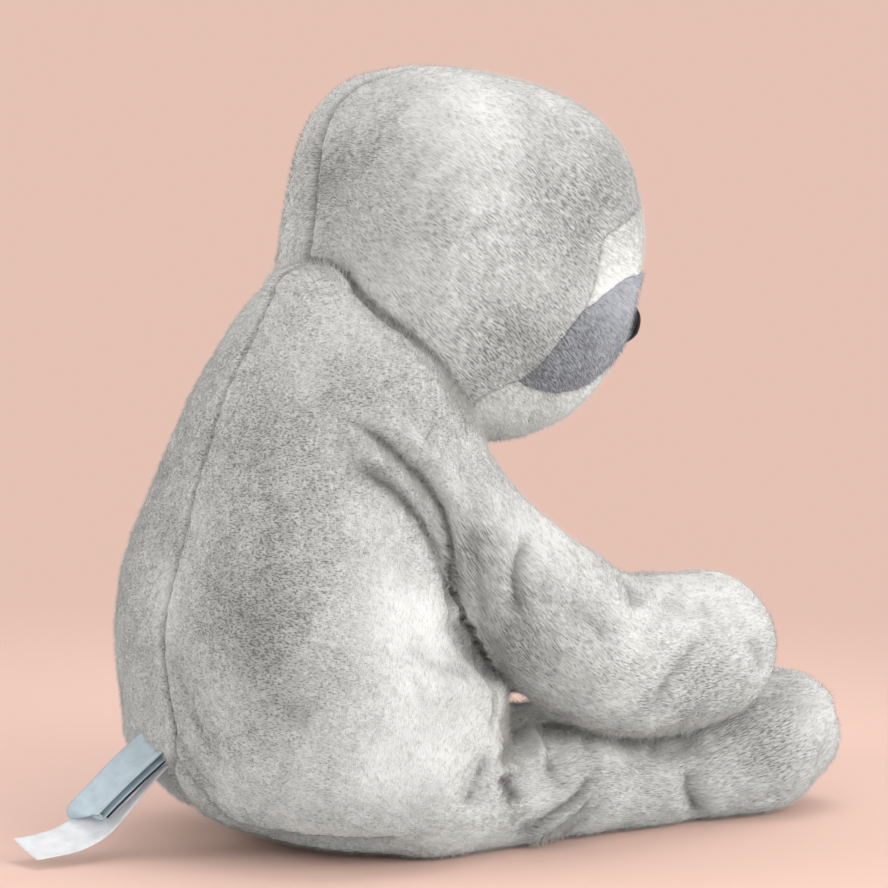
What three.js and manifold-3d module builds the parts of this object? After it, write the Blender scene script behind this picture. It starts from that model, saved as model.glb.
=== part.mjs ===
// A seated plush sloth: a pear shaped torso, a heavy hanging head, two thick arms that rest
// on the legs, and two legs that lie on the floor. Units are millimetres and +Z is up.
// The sloth faces -Y, its left is +X, and the origin is the middle of its seat on the floor.
import * as THREE from 'three';
import Module from 'manifold-3d';

const wasm = await Module();
wasm.setup();

// Fabric and fits
const fur_skin = 2.6;
const fill_gap = 0.3;
const seam_gap = 0.3;
const piece_gap = 0.65;
const floor_flat = 0.5;
const cut_overrun = 400;
const fill_offset = -fur_skin - fill_gap;

// Torso levels, from the seat up: height, half width, half depth and how far forward. The neck's
// height and the top's height follow the head.
const seat_half_width = 60;
const seat_half_depth = 40;
const seat_forward = 32;
const rump_height = 24;
const rump_half_width = 92;
const rump_half_depth = 64;
const rump_forward = 16;
const lap_height = 56;
const lap_half_width = 99;
const lap_half_depth = 79;
const lap_forward = 9;
const belly_height = 92;
const belly_half_width = 96;
const belly_half_depth = 77;
const belly_forward = 4;
const chest_height = 158;
const chest_half_width = 81;
const chest_half_depth = 65;
const chest_forward = 9;
const shoulder_height = 213;
const shoulder_half_width = 57;
const shoulder_half_depth = 51;
const shoulder_forward = 17;
const neck_half_width = 32;
const neck_half_depth = 30;
const neck_forward = 20;

// Torso seams: the side seam of the belly panel and the bent edge of the seat panel
const belly_seam_forward = 44;
const seat_seam_back_height = 44.5;
const seat_seam_front_height = 13;
const seat_seam_fold_forward = -26;

// Head: an oval ball whose front hangs down, with a low muzzle
const head_forward = 90;
const head_height = 263;
const head_half_width = 76;
const head_half_height = 86;
const head_back_depth = 78;
const head_front_depth = 84;
const head_tilt = 8;
const head_back_fullness_share = 0.78;
const gaze_pitch = 24;
const muzzle_half_width = 32;
const muzzle_half_height = 26;
const muzzle_depth = 100;
const muzzle_drop = 8;
const neck_below_head = 13;
const torso_top_above_head = 5;
const neck_height = head_height - neck_below_head;
const torso_top_height = head_height + torso_top_above_head;

// Face: the white panel's seam plane, the eye patches, the eyes and the nose
const face_seam_depth = 25;
const face_seam_pitch = 39;
const patch_thick = 1.6;
const patch_length = 80;
const patch_height = 44;
const patch_out = 46;
const patch_drop = 14;
const patch_slope = 62;
const eye_radius = 5.5;
const eye_bulge = 3.4;
const eye_out = 24;
const eye_raise = 8;
const nose_half_width = 13;
const nose_half_height = 9;
const nose_thick = 6;
const nose_raise = 10;

// Arms: five places along the middle line, and the thickness there. The hand follows the leg.
const arm_top_forward = 40;
const arm_top_out = 52;
const arm_top_height = 200;
const arm_top_half = 25;
const upper_arm_forward = 48;
const upper_arm_out = 68;
const upper_arm_height = 164;
const upper_arm_half = 28;
const elbow_forward = 68;
const elbow_out = 76;
const elbow_height = 122;
const elbow_half = 32;
const forearm_forward = 116;
const forearm_out = 67;
const forearm_height = 94;
const forearm_half = 36;
const hand_forward = 188;
const hand_half = 37;
const hand_outside_leg = 2;
const hand_above_shin = 4;
const arm_width_share = 0.88;
const hand_end_length = 38;

// Legs: four places along the middle line, and the thickness there
const leg_out = 52;
const hip_forward = 28;
const hip_height = 36;
const hip_half = 36;
const thigh_forward = 82;
const thigh_half = 28;
const shin_forward = 150;
const shin_half = 20.5;
const foot_forward = 228;
const foot_height = 31;
const foot_half = 29;
const foot_end_length = 32;
const leg_width_share = 1.1;
const hand_out = leg_out + hand_outside_leg;
const hand_height = 2 * shin_half + hand_half + hand_above_shin;

// Sewn-in labels in the cross seam at the back, a little to the left of the middle
const label_out = 21;
const label_tuck = 12;
const label_spacing = 0.5;
const label_width = 22;
const label_length = 37;
const label_thick = 0.5;
const label_fold_gap = 0.6;
const label_dip = 36;
const care_length = 66;
const care_thick = 0.9;
const care_dip_start = 62;
const care_dip_end = -8;

// Joint limits in degrees, which the clearances follow
const nod_limit = 25;
const arm_lift_limit = 40;
const arm_axis_tilt = 40;
const leg_splay_limit = 25;
const nod_steps = 5;
const lift_steps = 4;
const splay_steps = 11;

// Mesh resolution
const torso_around = 18;
const torso_levels = 7;
const head_around = 18;
const head_levels = 8;
const limb_around = 12;
const limb_levels = 6;
const cap_levels = 3;
// A filling has half as many points around as its skin, at the same angles, so it stays inside
const fill_share = 0.5;

const radians = THREE.MathUtils.degToRad;
const side_names = ['right', 'left'];
const side_signs = { right: -1, left: 1 };

const place = (forward, out, height) => new THREE.Vector3(out, -forward, height);

// Closed solid from rings of points between two end points
function loft(rings, first, last) {
  const around = rings[0].length;
  const points = [first, ...rings.flat(), last];
  const at = (ring, i) => 1 + ring * around + (i % around);
  const faces = [];
  for (let i = 0; i < around; i += 1) {
    faces.push(0, at(0, i + 1), at(0, i));
    for (let r = 0; r < rings.length - 1; r += 1) {
      faces.push(at(r, i), at(r, i + 1), at(r + 1, i + 1));
      faces.push(at(r, i), at(r + 1, i + 1), at(r + 1, i));
    }
    faces.push(points.length - 1, at(rings.length - 1, i), at(rings.length - 1, i + 1));
  }
  return solid(points, faces);
}

function solid(points, faces) {
  const vertProperties = new Float32Array(points.flatMap((p) => [p.x, p.y, p.z]));
  const mesh = new wasm.Mesh({ numProp: 3, vertProperties, triVerts: new Uint32Array(faces) });
  return new wasm.Manifold(mesh);
}

// Ring of points round a centre
function ellipse(centre, across, up, half_across, half_up, around) {
  return Array.from({ length: around }, (_, i) => {
    const angle = (2 * Math.PI * i) / around;
    return centre.clone()
      .addScaledVector(across, half_across * Math.cos(angle))
      .addScaledVector(up, half_up * Math.sin(angle));
  });
}

// Solid from a three.js geometry, welded so that it closes
function from_geometry(geometry, matrix) {
  const placed = geometry.clone().applyMatrix4(matrix);
  const position = placed.getAttribute('position');
  const index = placed.getIndex();
  const count = index ? index.count : position.count;
  const known = new Map();
  const points = [];
  const faces = [];
  for (let k = 0; k < count; k += 1) {
    const p = new THREE.Vector3().fromBufferAttribute(position, index ? index.getX(k) : k);
    const key = p.toArray().map((v) => v.toFixed(4)).join();
    if (!known.has(key)) {
      known.set(key, points.length);
      points.push(p);
    }
    faces.push(known.get(key));
  }
  return solid(points, faces);
}

// The half space on the side of a point that a direction shows, as a large box
function half_space(point, direction) {
  const size = 2 * cut_overrun;
  const turn = new THREE.Quaternion().setFromUnitVectors(new THREE.Vector3(0, 0, 1), direction);
  const centre = point.clone().addScaledVector(direction, cut_overrun);
  const matrix = new THREE.Matrix4().compose(centre, turn, new THREE.Vector3(1, 1, 1));
  return from_geometry(new THREE.BoxGeometry(size, size, size), matrix);
}

// What lies on each side of a seam plane, half a seam gap away from it
function parted(skin, point, direction) {
  const back = direction.clone().negate();
  const far = point.clone().addScaledVector(direction, seam_gap / 2);
  const near = point.clone().addScaledVector(back, seam_gap / 2);
  return [skin.intersect(half_space(far, direction)), skin.intersect(half_space(near, back))];
}

const above_floor = (shape) => shape.intersect(half_space(place(0, 0, 0), place(0, 0, 1)));

// Union of a shape turned about an axis, from rest to a limit
function swept(shape, pivot, axis, limit, steps) {
  const turned = Array.from({ length: steps + 1 }, (_, i) => shape.transform(
    turn_about(pivot, axis, (limit * i) / steps).toArray()));
  return turned.reduce((all, one) => all.add(one));
}

function turn_about(pivot, axis, degrees) {
  const turn = new THREE.Matrix4().makeRotationAxis(axis, radians(degrees));
  const back = pivot.clone().negate();
  return new THREE.Matrix4().makeTranslation(pivot.x, pivot.y, pivot.z)
    .multiply(turn)
    .multiply(new THREE.Matrix4().makeTranslation(back.x, back.y, back.z));
}

// Middle line and half sizes of the torso, from the seat to the neck
function torso_curves() {
  const level = (forward, height, half_width, half_depth) => [
    new THREE.Vector3(forward, height, 0), new THREE.Vector3(half_width, half_depth, 0)];
  const levels = [
    level(seat_forward, 0, seat_half_width, seat_half_depth),
    level(rump_forward, rump_height, rump_half_width, rump_half_depth),
    level(lap_forward, lap_height, lap_half_width, lap_half_depth),
    level(belly_forward, belly_height, belly_half_width, belly_half_depth),
    level(chest_forward, chest_height, chest_half_width, chest_half_depth),
    level(shoulder_forward, shoulder_height, shoulder_half_width, shoulder_half_depth),
    level(neck_forward, neck_height, neck_half_width, neck_half_depth)];
  return { middle: new THREE.CatmullRomCurve3(levels.map((l) => l[0])),
    halves: new THREE.CatmullRomCurve3(levels.map((l) => l[1])) };
}

// How far forward the torso's back lies at a height
function back_at(height) {
  const { middle, halves } = torso_curves();
  const halvings = 30;
  let low = 0;
  let high = 1;
  for (let i = 0; i < halvings; i += 1) {
    const share = (low + high) / 2;
    if (middle.getPoint(share).y < height) low = share;
    else high = share;
  }
  return middle.getPoint(low).x - halves.getPoint(low).y;
}

// Torso, grown or shrunk by an offset, with a flat round seat
function torso_form(offset, around = torso_around) {
  const { middle, halves } = torso_curves();
  const across = new THREE.Vector3(1, 0, 0);
  const up = new THREE.Vector3(0, 1, 0);
  const seat_raise = Math.max(-offset, 0);
  const rings = Array.from({ length: torso_levels + 1 }, (_, i) => {
    const share = i / torso_levels;
    const at = middle.getPoint(share);
    const half = halves.getPoint(share);
    const raised = i === 0 ? seat_raise : 0;
    const centre = place(at.x, 0, at.y + raised);
    return ellipse(centre, across, up, half.x + offset + raised, half.y + offset + raised, around);
  });
  const seat = place(seat_forward, 0, seat_raise);
  return loft(rings, seat, place(neck_forward, 0, torso_top_height + offset));
}

// Head: rings across the line of sight, from the back of the head to the face
const head_centre = place(head_forward, 0, head_height);
const pitched = (degrees) => place(Math.cos(radians(degrees)), 0, -Math.sin(radians(degrees)));
const head_axis = pitched(head_tilt);
const sight = pitched(gaze_pitch);
const side_way = new THREE.Vector3(1, 0, 0);
const brow_way = sight.clone().cross(side_way);

function head_form(offset, around = head_around) {
  const crown_way = head_axis.clone().cross(side_way);
  const rings = [];
  for (let i = 1; i < head_levels; i += 1) {
    const angle = (Math.PI * i) / head_levels;
    const behind = angle < Math.PI / 2;
    const fullness = behind ? head_back_fullness_share : 1;
    const reach = (behind ? -head_back_depth - offset : head_front_depth + offset);
    const swell = Math.sin(angle) ** fullness;
    const centre = head_centre.clone()
      .addScaledVector(head_axis, Math.abs(Math.cos(angle)) ** fullness * reach);
    rings.push(ellipse(centre, side_way, crown_way, swell * (head_half_width + offset),
      swell * (head_half_height + offset), around));
  }
  const ball = loft(rings, head_centre.clone().addScaledVector(head_axis, -head_back_depth - offset),
    head_centre.clone().addScaledVector(head_axis, head_front_depth + offset));
  return ball.add(muzzle_form(offset, around));
}

function muzzle_form(offset, around) {
  const centre = head_centre.clone().addScaledVector(brow_way, -muzzle_drop);
  const rings = [];
  for (let i = 1; i < head_levels; i += 1) {
    const angle = (Math.PI * i) / head_levels;
    const depth = -Math.cos(angle) * (muzzle_depth + offset);
    rings.push(ellipse(centre.clone().addScaledVector(sight, depth), side_way, brow_way,
      Math.sin(angle) * (muzzle_half_width + offset), Math.sin(angle) * (muzzle_half_height + offset),
      around));
  }
  const ball = loft(rings, centre.clone().addScaledVector(sight, -muzzle_depth - offset),
    centre.clone().addScaledVector(sight, muzzle_depth + offset));
  return ball.intersect(half_space(centre, sight));
}

// Limb: rings along a curve, rounded at both ends
function limb_form(stations, width_share, end_length, offset, around) {
  const middle = new THREE.CatmullRomCurve3(stations.map((s) => s.at));
  const halves = new THREE.CatmullRomCurve3(stations.map((s) => new THREE.Vector3(s.half, 0, 0)));
  const rings = [];
  const ring = (centre, along, half, shrink) => {
    const across = side_way.clone().addScaledVector(along, -side_way.dot(along)).normalize();
    const up = along.clone().cross(across);
    rings.push(ellipse(centre, across, up, (half * width_share + offset) * shrink,
      (half + offset) * shrink, around));
  };
  const first = stations[0];
  const last = stations[stations.length - 1];
  const start_way = middle.getTangent(0);
  const end_way = middle.getTangent(1);
  for (let i = cap_levels - 1; i > 0; i -= 1) {
    const angle = (Math.PI / 2) * (i / cap_levels);
    const back = -Math.sin(angle) * (first.half + offset);
    ring(first.at.clone().addScaledVector(start_way, back), start_way, first.half, Math.cos(angle));
  }
  for (let i = 0; i <= limb_levels; i += 1) {
    const share = i / limb_levels;
    ring(middle.getPoint(share), middle.getTangent(share), halves.getPoint(share).x, 1);
  }
  for (let i = 1; i < cap_levels; i += 1) {
    const angle = (Math.PI / 2) * (i / cap_levels);
    const ahead = Math.sin(angle) * (end_length + offset);
    ring(last.at.clone().addScaledVector(end_way, ahead), end_way, last.half, Math.cos(angle));
  }
  return loft(rings, first.at.clone().addScaledVector(start_way, -first.half - offset),
    last.at.clone().addScaledVector(end_way, end_length + offset));
}

const arm_stations = (sign) => [
  { at: place(arm_top_forward, sign * arm_top_out, arm_top_height), half: arm_top_half },
  { at: place(upper_arm_forward, sign * upper_arm_out, upper_arm_height), half: upper_arm_half },
  { at: place(elbow_forward, sign * elbow_out, elbow_height), half: elbow_half },
  { at: place(forearm_forward, sign * forearm_out, forearm_height), half: forearm_half },
  { at: place(hand_forward, sign * hand_out, hand_height), half: hand_half }];

const leg_stations = (sign) => [
  { at: place(hip_forward, sign * leg_out, hip_height - floor_flat), half: hip_half },
  { at: place(thigh_forward, sign * leg_out, thigh_half - floor_flat), half: thigh_half },
  { at: place(shin_forward, sign * leg_out, shin_half - floor_flat), half: shin_half },
  { at: place(foot_forward, sign * leg_out, foot_height - floor_flat), half: foot_half }];

const arm_form = (sign, offset, around = limb_around) => limb_form(
  arm_stations(sign), arm_width_share, hand_end_length, offset, around);
const leg_form = (sign, offset, around = limb_around) => limb_form(
  leg_stations(sign), leg_width_share, foot_end_length, offset, around);

// Joint axes
const arm_pivot = (sign) => place(arm_top_forward, sign * arm_top_out, arm_top_height);
const arm_axis = (sign) => new THREE.Vector3(
  -Math.cos(radians(arm_axis_tilt)), 0, sign * Math.sin(radians(arm_axis_tilt)));
const leg_pivot = (sign) => place(hip_forward, sign * leg_out, hip_height);
const leg_axis = (sign) => new THREE.Vector3(0, 0, sign);

// What each soft form keeps clear of, over the travel of the joints
const nod_axis = new THREE.Vector3(-1, 0, 0);
const torso_room = torso_form(piece_gap);
const head_room = swept(head_form(piece_gap), head_centre, nod_axis, nod_limit, nod_steps);
const leg_room = (sign) => swept(
  leg_form(sign, piece_gap), leg_pivot(sign), leg_axis(sign), leg_splay_limit, splay_steps);
const arm_room = (sign) => swept(
  torso_room.add(head_room), arm_pivot(sign), arm_axis(sign), -arm_lift_limit, lift_steps);
const leg_side_room = (sign) => swept(
  torso_room, leg_pivot(sign), leg_axis(sign), -leg_splay_limit, splay_steps);

// Pieces, each with its node name, its solid and its colour
const pieces = [];
const add = (name, shape, colour) => pieces.push({ name, shape, colour });
const fur_grey = 0xbdb9b2;
const face_white = 0xeeebe6;
const patch_grey = 0x8488a0;
const nose_black = 0x1c1b1e;
const label_blue = 0xb9cdd8;
const label_white = 0xf2f3f5;
const fill_white = 0xf7f5f0;

function add_torso() {
  const skin = torso_form(0).subtract(torso_form(-fur_skin)).subtract(head_room);
  const back_forward = back_at(seat_seam_back_height);
  const seat_outline = [
    [back_forward, seat_seam_back_height],
    [seat_seam_fold_forward, seat_seam_front_height],
    [cut_overrun, seat_seam_front_height],
    [cut_overrun, -cut_overrun],
    [-cut_overrun, -cut_overrun],
    [-cut_overrun, seat_seam_back_height]];
  const seat_side = (gap) => {
    const shape = new THREE.Shape(seat_outline.map(([forward, height]) => new THREE.Vector2(
      forward, height > 0 ? height + gap : height)));
    const geometry = new THREE.ExtrudeGeometry(shape, { depth: 2 * cut_overrun, bevelEnabled: false });
    const basis = new THREE.Matrix4().makeBasis(place(1, 0, 0), place(0, 0, 1), new THREE.Vector3(-1, 0, 0));
    const shift = new THREE.Matrix4().makeTranslation(cut_overrun, 0, 0);
    return from_geometry(geometry, shift.multiply(basis));
  };
  add('seat_panel', skin.intersect(seat_side(-seam_gap / 2)), fur_grey);
  const upper = skin.subtract(seat_side(seam_gap / 2));
  const [belly, back] = parted(upper, place(belly_seam_forward, 0, 0), place(1, 0, 0));
  add('torso_belly', belly, fur_grey);
  const [left, right] = parted(back, place(0, 0, 0), side_way);
  add('torso_back_left', left, fur_grey);
  add('torso_back_right', right, fur_grey);
  const filling = torso_form(fill_offset, torso_around * fill_share);
  add('torso_stuffing', filling.subtract(head_room), fill_white);
}

// A flat outline pushed through the head along the line of sight
function through_head(outline) {
  const settings = { depth: cut_overrun, bevelEnabled: false, curveSegments: 5 };
  return from_geometry(new THREE.ExtrudeGeometry(outline, settings), face_frame(head_centre));
}

function face_frame(origin) {
  return new THREE.Matrix4().makeTranslation(origin.x, origin.y, origin.z)
    .multiply(new THREE.Matrix4().makeBasis(side_way, brow_way, sight));
}

function patch_outline(sign) {
  const turn = radians(patch_slope);
  const at = (along, rise) => [
    sign * (patch_out + along * Math.cos(turn) + rise * Math.sin(turn)),
    -patch_drop - along * Math.sin(turn) + rise * Math.cos(turn)];
  const round = patch_height / 2;
  const blunt = -patch_length / 2;
  const tip = patch_length / 2;
  const shape = new THREE.Shape();
  shape.moveTo(...at(tip, 0));
  shape.bezierCurveTo(...at(round, round / 2), ...at(0, round), ...at(-round / 2, round));
  shape.bezierCurveTo(...at(blunt, round), ...at(blunt, -round), ...at(-round / 2, -round));
  shape.bezierCurveTo(...at(0, -round), ...at(round, -round / 2), ...at(tip, 0));
  return shape;
}

function ball(centre, half_wide, half_high, half_deep) {
  const matrix = face_frame(centre)
    .multiply(new THREE.Matrix4().makeScale(half_wide, half_high, half_deep));
  return from_geometry(new THREE.IcosahedronGeometry(1, 2), matrix);
}

// Place on the front of the head, from how far out and how far up the face it is
function face_point(out, raise) {
  const crown_way = head_axis.clone().cross(side_way);
  const eased = (v) => new THREE.Vector3(v.dot(side_way) / head_half_width,
    v.dot(head_axis) / head_front_depth, v.dot(crown_way) / head_half_height);
  const offset = side_way.clone().multiplyScalar(out).addScaledVector(brow_way, raise);
  const start = eased(offset);
  const way = eased(sight);
  const half = start.dot(way);
  const root = Math.sqrt(half * half - way.lengthSq() * (start.lengthSq() - 1));
  return head_centre.clone().add(offset).addScaledVector(sight, (root - half) / way.lengthSq());
}

function add_head() {
  const skin = head_form(0).subtract(head_form(-fur_skin));
  const face_way = place(Math.cos(radians(face_seam_pitch)), 0, -Math.sin(radians(face_seam_pitch)));
  const seam_point = head_centre.clone().addScaledVector(face_way, face_seam_depth);
  const [face, hood] = parted(skin, seam_point, face_way);
  const [left, right] = parted(hood, head_centre, side_way);
  add('head_side_left', left, fur_grey);
  add('head_side_right', right, fur_grey);
  add('face_panel', face, face_white);
  add('head_stuffing', head_form(fill_offset, head_around * fill_share), fill_white);
  const under = head_form(piece_gap);
  const nose_centre = head_centre.clone().addScaledVector(brow_way, -muzzle_drop + nose_raise)
    .addScaledVector(sight, muzzle_depth);
  const nose_room = ball(nose_centre, nose_half_width + piece_gap, nose_half_height + piece_gap,
    nose_thick + piece_gap);
  add('nose', ball(nose_centre, nose_half_width, nose_half_height, nose_thick).subtract(under), nose_black);
  for (const side of side_names) {
    const sign = side_signs[side];
    const eye_centre = face_point(sign * eye_out, eye_raise).addScaledVector(sight, patch_thick);
    const layer = head_form(piece_gap + patch_thick).subtract(under);
    const patch = layer.intersect(through_head(patch_outline(sign)))
      .intersect(half_space(seam_point, face_way)).subtract(nose_room);
    add(`eye_patch_${side}`, patch, patch_grey);
    const over = head_form(2 * piece_gap + patch_thick);
    add(`eye_${side}`, ball(eye_centre, eye_radius, eye_radius, eye_bulge).subtract(over), nose_black);
  }
}

function add_arm(side) {
  const sign = side_signs[side];
  const room = leg_room(sign).add(arm_room(sign));
  const clear = (shape) => shape.subtract(room);
  const skin = clear(arm_form(sign, 0).subtract(arm_form(sign, -fur_skin)));
  const across = new THREE.Vector3(sign * (hand_forward - upper_arm_forward),
    -(upper_arm_out - hand_out), 0).normalize();
  const [outer, inner] = parted(skin, place(hand_forward, sign * hand_out, hand_height), across);
  add(`arm_${side}_outer`, outer, fur_grey);
  add(`arm_${side}_inner`, inner, fur_grey);
  const filling = arm_form(sign, fill_offset, limb_around * fill_share);
  add(`arm_${side}_stuffing`, clear(filling), fill_white);
}

function add_leg(side) {
  const sign = side_signs[side];
  const room = leg_side_room(sign);
  const clear = (shape) => above_floor(shape).subtract(room);
  const skin = clear(leg_form(sign, 0).subtract(leg_form(sign, -fur_skin)));
  const out_way = new THREE.Vector3(sign, 0, 0);
  const [outer, inner] = parted(skin, place(0, sign * leg_out, 0), out_way);
  add(`leg_${side}_outer`, outer, fur_grey);
  add(`leg_${side}_inner`, inner, fur_grey);
  const filling = leg_form(sign, fill_offset, limb_around * fill_share);
  add(`leg_${side}_stuffing`, clear(filling), fill_white);
}

// Strip in side view from a root point, whose dip below the horizontal changes along it
function strip(root, start_dip, end_dip, length, thick, width) {
  const steps = 8;
  const upper = [];
  const lower = [];
  let at = root.clone();
  for (let i = 0; i <= steps; i += 1) {
    const dip = radians(start_dip + ((end_dip - start_dip) * i) / steps);
    const normal = new THREE.Vector2(-Math.sin(dip), Math.cos(dip));
    upper.push(at.clone().addScaledVector(normal, thick / 2));
    lower.unshift(at.clone().addScaledVector(normal, -thick / 2));
    const along = new THREE.Vector2(-Math.cos(dip), -Math.sin(dip));
    at = at.clone().addScaledVector(along, length / steps);
  }
  const shape = new THREE.Shape([...upper, ...lower]);
  const geometry = new THREE.ExtrudeGeometry(shape, { depth: width, bevelEnabled: false });
  const basis = new THREE.Matrix4().makeBasis(place(1, 0, 0), place(0, 0, 1), side_way.clone().negate());
  const shift = new THREE.Matrix4().makeTranslation(label_out + width / 2, 0, 0);
  return from_geometry(geometry, shift.multiply(basis));
}

// The labels' hinge line: where the upper face of the folded label leaves the back
const label_root = new THREE.Vector2(back_at(seat_seam_back_height), seat_seam_back_height);

function add_labels() {
  const inward = new THREE.Vector2(Math.cos(radians(label_dip)), Math.sin(radians(label_dip)));
  const deeper = (root) => root.clone().addScaledVector(inward, label_tuck);
  const below = (root, drop) => root.clone().addScaledVector(
    new THREE.Vector2(Math.sin(radians(label_dip)), -Math.cos(radians(label_dip))), drop);
  const folded_thick = 2 * label_thick + label_fold_gap;
  const fold = below(deeper(label_root), folded_thick / 2);
  const reach = label_tuck + label_length;
  const outside = strip(fold, label_dip, label_dip, reach, folded_thick, label_width);
  const inside = strip(fold, label_dip, label_dip, reach - label_thick, label_fold_gap,
    label_width + label_tuck);
  add('brand_label', outside.subtract(inside).subtract(torso_room), label_blue);
  const care_root = below(label_root, folded_thick + label_spacing + care_thick / 2);
  const care = strip(care_root, care_dip_start, care_dip_end, care_length, care_thick, label_width);
  const stub = strip(deeper(care_root), label_dip, label_dip, label_tuck, care_thick, label_width);
  add('care_label', care.add(stub).subtract(torso_room), label_white);
}

add_torso();
add_head();
side_names.forEach(add_arm);
side_names.forEach(add_leg);
add_labels();

const model = new THREE.Group();
for (const { name, shape, colour } of pieces) {
  const mesh = shape.getMesh();
  const geometry = new THREE.BufferGeometry();
  geometry.setAttribute('position', new THREE.BufferAttribute(new Float32Array(mesh.vertProperties), 3));
  geometry.setIndex(new THREE.BufferAttribute(new Uint32Array(mesh.triVerts), 1));
  geometry.computeVertexNormals();
  const node = new THREE.Mesh(geometry, new THREE.MeshStandardMaterial({ color: colour, roughness: 0.9 }));
  node.name = name;
  model.add(node);
}

export default model;
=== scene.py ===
import math

import bmesh
import bpy
import numpy as np
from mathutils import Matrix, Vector
from mathutils.bvhtree import BVHTree


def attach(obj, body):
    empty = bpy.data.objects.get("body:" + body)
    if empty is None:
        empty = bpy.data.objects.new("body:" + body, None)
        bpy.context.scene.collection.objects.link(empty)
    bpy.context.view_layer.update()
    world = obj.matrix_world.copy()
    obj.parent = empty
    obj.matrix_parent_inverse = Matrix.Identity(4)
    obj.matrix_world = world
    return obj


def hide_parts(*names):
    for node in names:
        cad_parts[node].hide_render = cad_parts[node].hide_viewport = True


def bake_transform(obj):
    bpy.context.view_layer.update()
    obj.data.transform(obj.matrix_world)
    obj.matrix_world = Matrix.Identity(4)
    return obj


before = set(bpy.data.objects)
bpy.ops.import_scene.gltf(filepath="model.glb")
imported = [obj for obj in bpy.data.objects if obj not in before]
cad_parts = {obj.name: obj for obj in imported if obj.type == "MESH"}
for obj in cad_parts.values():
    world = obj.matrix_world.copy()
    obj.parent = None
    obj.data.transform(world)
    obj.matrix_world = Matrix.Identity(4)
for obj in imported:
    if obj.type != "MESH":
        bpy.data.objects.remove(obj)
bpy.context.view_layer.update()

MM = 0.001

# Camera, as in the photograph

PHOTO_SIZE = 888
CAMERA_TARGET = np.array([0.0, -0.0816, 0.1755])
CAMERA_AZIMUTH = math.radians(237)
CAMERA_ELEVATION = math.radians(7)
CAMERA_DISTANCE = 2.0
CAMERA_LENS = 177.8
CAMERA_SENSOR = 36.0

camera_side = np.array([
    math.sin(CAMERA_AZIMUTH) * math.cos(CAMERA_ELEVATION),
    -math.cos(CAMERA_AZIMUTH) * math.cos(CAMERA_ELEVATION),
    math.sin(CAMERA_ELEVATION)])
camera_place = CAMERA_TARGET + CAMERA_DISTANCE * camera_side


def in_photo(points):
    """The photograph's pixels (x, y) that show these points, in metres."""
    ahead = -camera_side
    right = np.cross(ahead, [0, 0, 1.0])
    right /= np.linalg.norm(right)
    up = np.cross(right, ahead)
    away = points - camera_place
    focal = PHOTO_SIZE * CAMERA_LENS / CAMERA_SENSOR
    depth = away @ ahead
    x = PHOTO_SIZE / 2 + focal * (away @ right) / depth
    y = PHOTO_SIZE / 2 - focal * (away @ up) / depth
    return np.stack([x, y], 1)


def add_camera():
    data = bpy.data.cameras.new("camera")
    data.lens = CAMERA_LENS
    data.sensor_width = CAMERA_SENSOR
    data.clip_end = 50
    camera = bpy.data.objects.new("camera", data)
    camera.location = camera_place
    camera.rotation_euler = Vector(-camera_side).to_track_quat("-Z", "Y").to_euler()
    bpy.context.collection.objects.link(camera)
    bpy.context.scene.camera = camera


# Smooth forms, in millimetres

# Torso levels: height, half width, depth in front, how far forward, depth behind, and how full the back is
TORSO = np.array([
    [0, 38, 34, 50, 34, 2], [3, 56, 46, 43, 47, 2], [8, 70, 56, 34, 57, 2], [20, 84.5, 69, 23, 68.5, 2.15],
    [40, 94.5, 80.5, 12.5, 73.5, 2.5], [60, 95.5, 84.5, 10.5, 74, 2.55], [80, 95.5, 83.5, 9.5, 75.8, 2.5],
    [100, 93, 80, 8, 75, 2.5], [125, 87, 75, 5.5, 67.5, 2.6], [150, 79, 68.5, 5, 58, 2.75],
    [175, 71.5, 61.5, 6.5, 50.7, 2.6], [200, 67, 53, 12, 47.5, 2.1], [220, 63, 43.5, 20, 45, 1.95],
    [235, 52.5, 34, 24, 41, 2], [250, 31, 31, 26, 34, 2]], float)
TORSO_TOP = 262.0

# Limb stations: forward, out to the side, height, half thickness
ARM = np.array([
    [33, 50, 187, 27.5], [42, 64, 163, 25.5], [57, 74, 139, 27], [93, 73, 104, 34.5], [128, 67, 84.5, 35.5],
    [158, 62, 80.5, 36], [184, 59, 80.5, 34.5]], float)
ARM_WIDTH = 0.94
ARM_END = 34.0
ARMPIT = 175.0  # below this height the arm's skin goes on inside the torso, so that the lifted arm is closed
LEG = np.array([
    [40, 52, 34, 34.5], [70, 52, 25, 26.5], [113, 52, 24.5, 25.5], [137, 52, 20, 21], [170, 52, 19.5, 20.5],
    [198, 52, 25, 26], [222, 52, 31, 31], [236, 52, 36.5, 27.5]], float)
LEG_WIDTH = 1.1
LEG_END = 23.0

# Head: a ball with full, boxy sides, whose power is 2 for a plain ellipsoid
HEAD_CENTRE = np.array([0, -88.7, 261.2], float)
HEAD_HALF_WIDTH = 74.8
HEAD_HALF_HEIGHT = 83.2
HEAD_BACK = 70.6
HEAD_FRONT = 79.4
HEAD_POWER = 2.45
HEAD_BACK_POWER = 3.25
HEAD_TILT = 10.7
GAZE = 24.0
MUZZLE = (32.0, 26.0, 99.6)  # half width, height below its middle, and reach from the head's centre
MUZZLE_DROP = 8.0
BRIDGE = 42.0  # height above the muzzle's middle at which it runs out between the eyes

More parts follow.
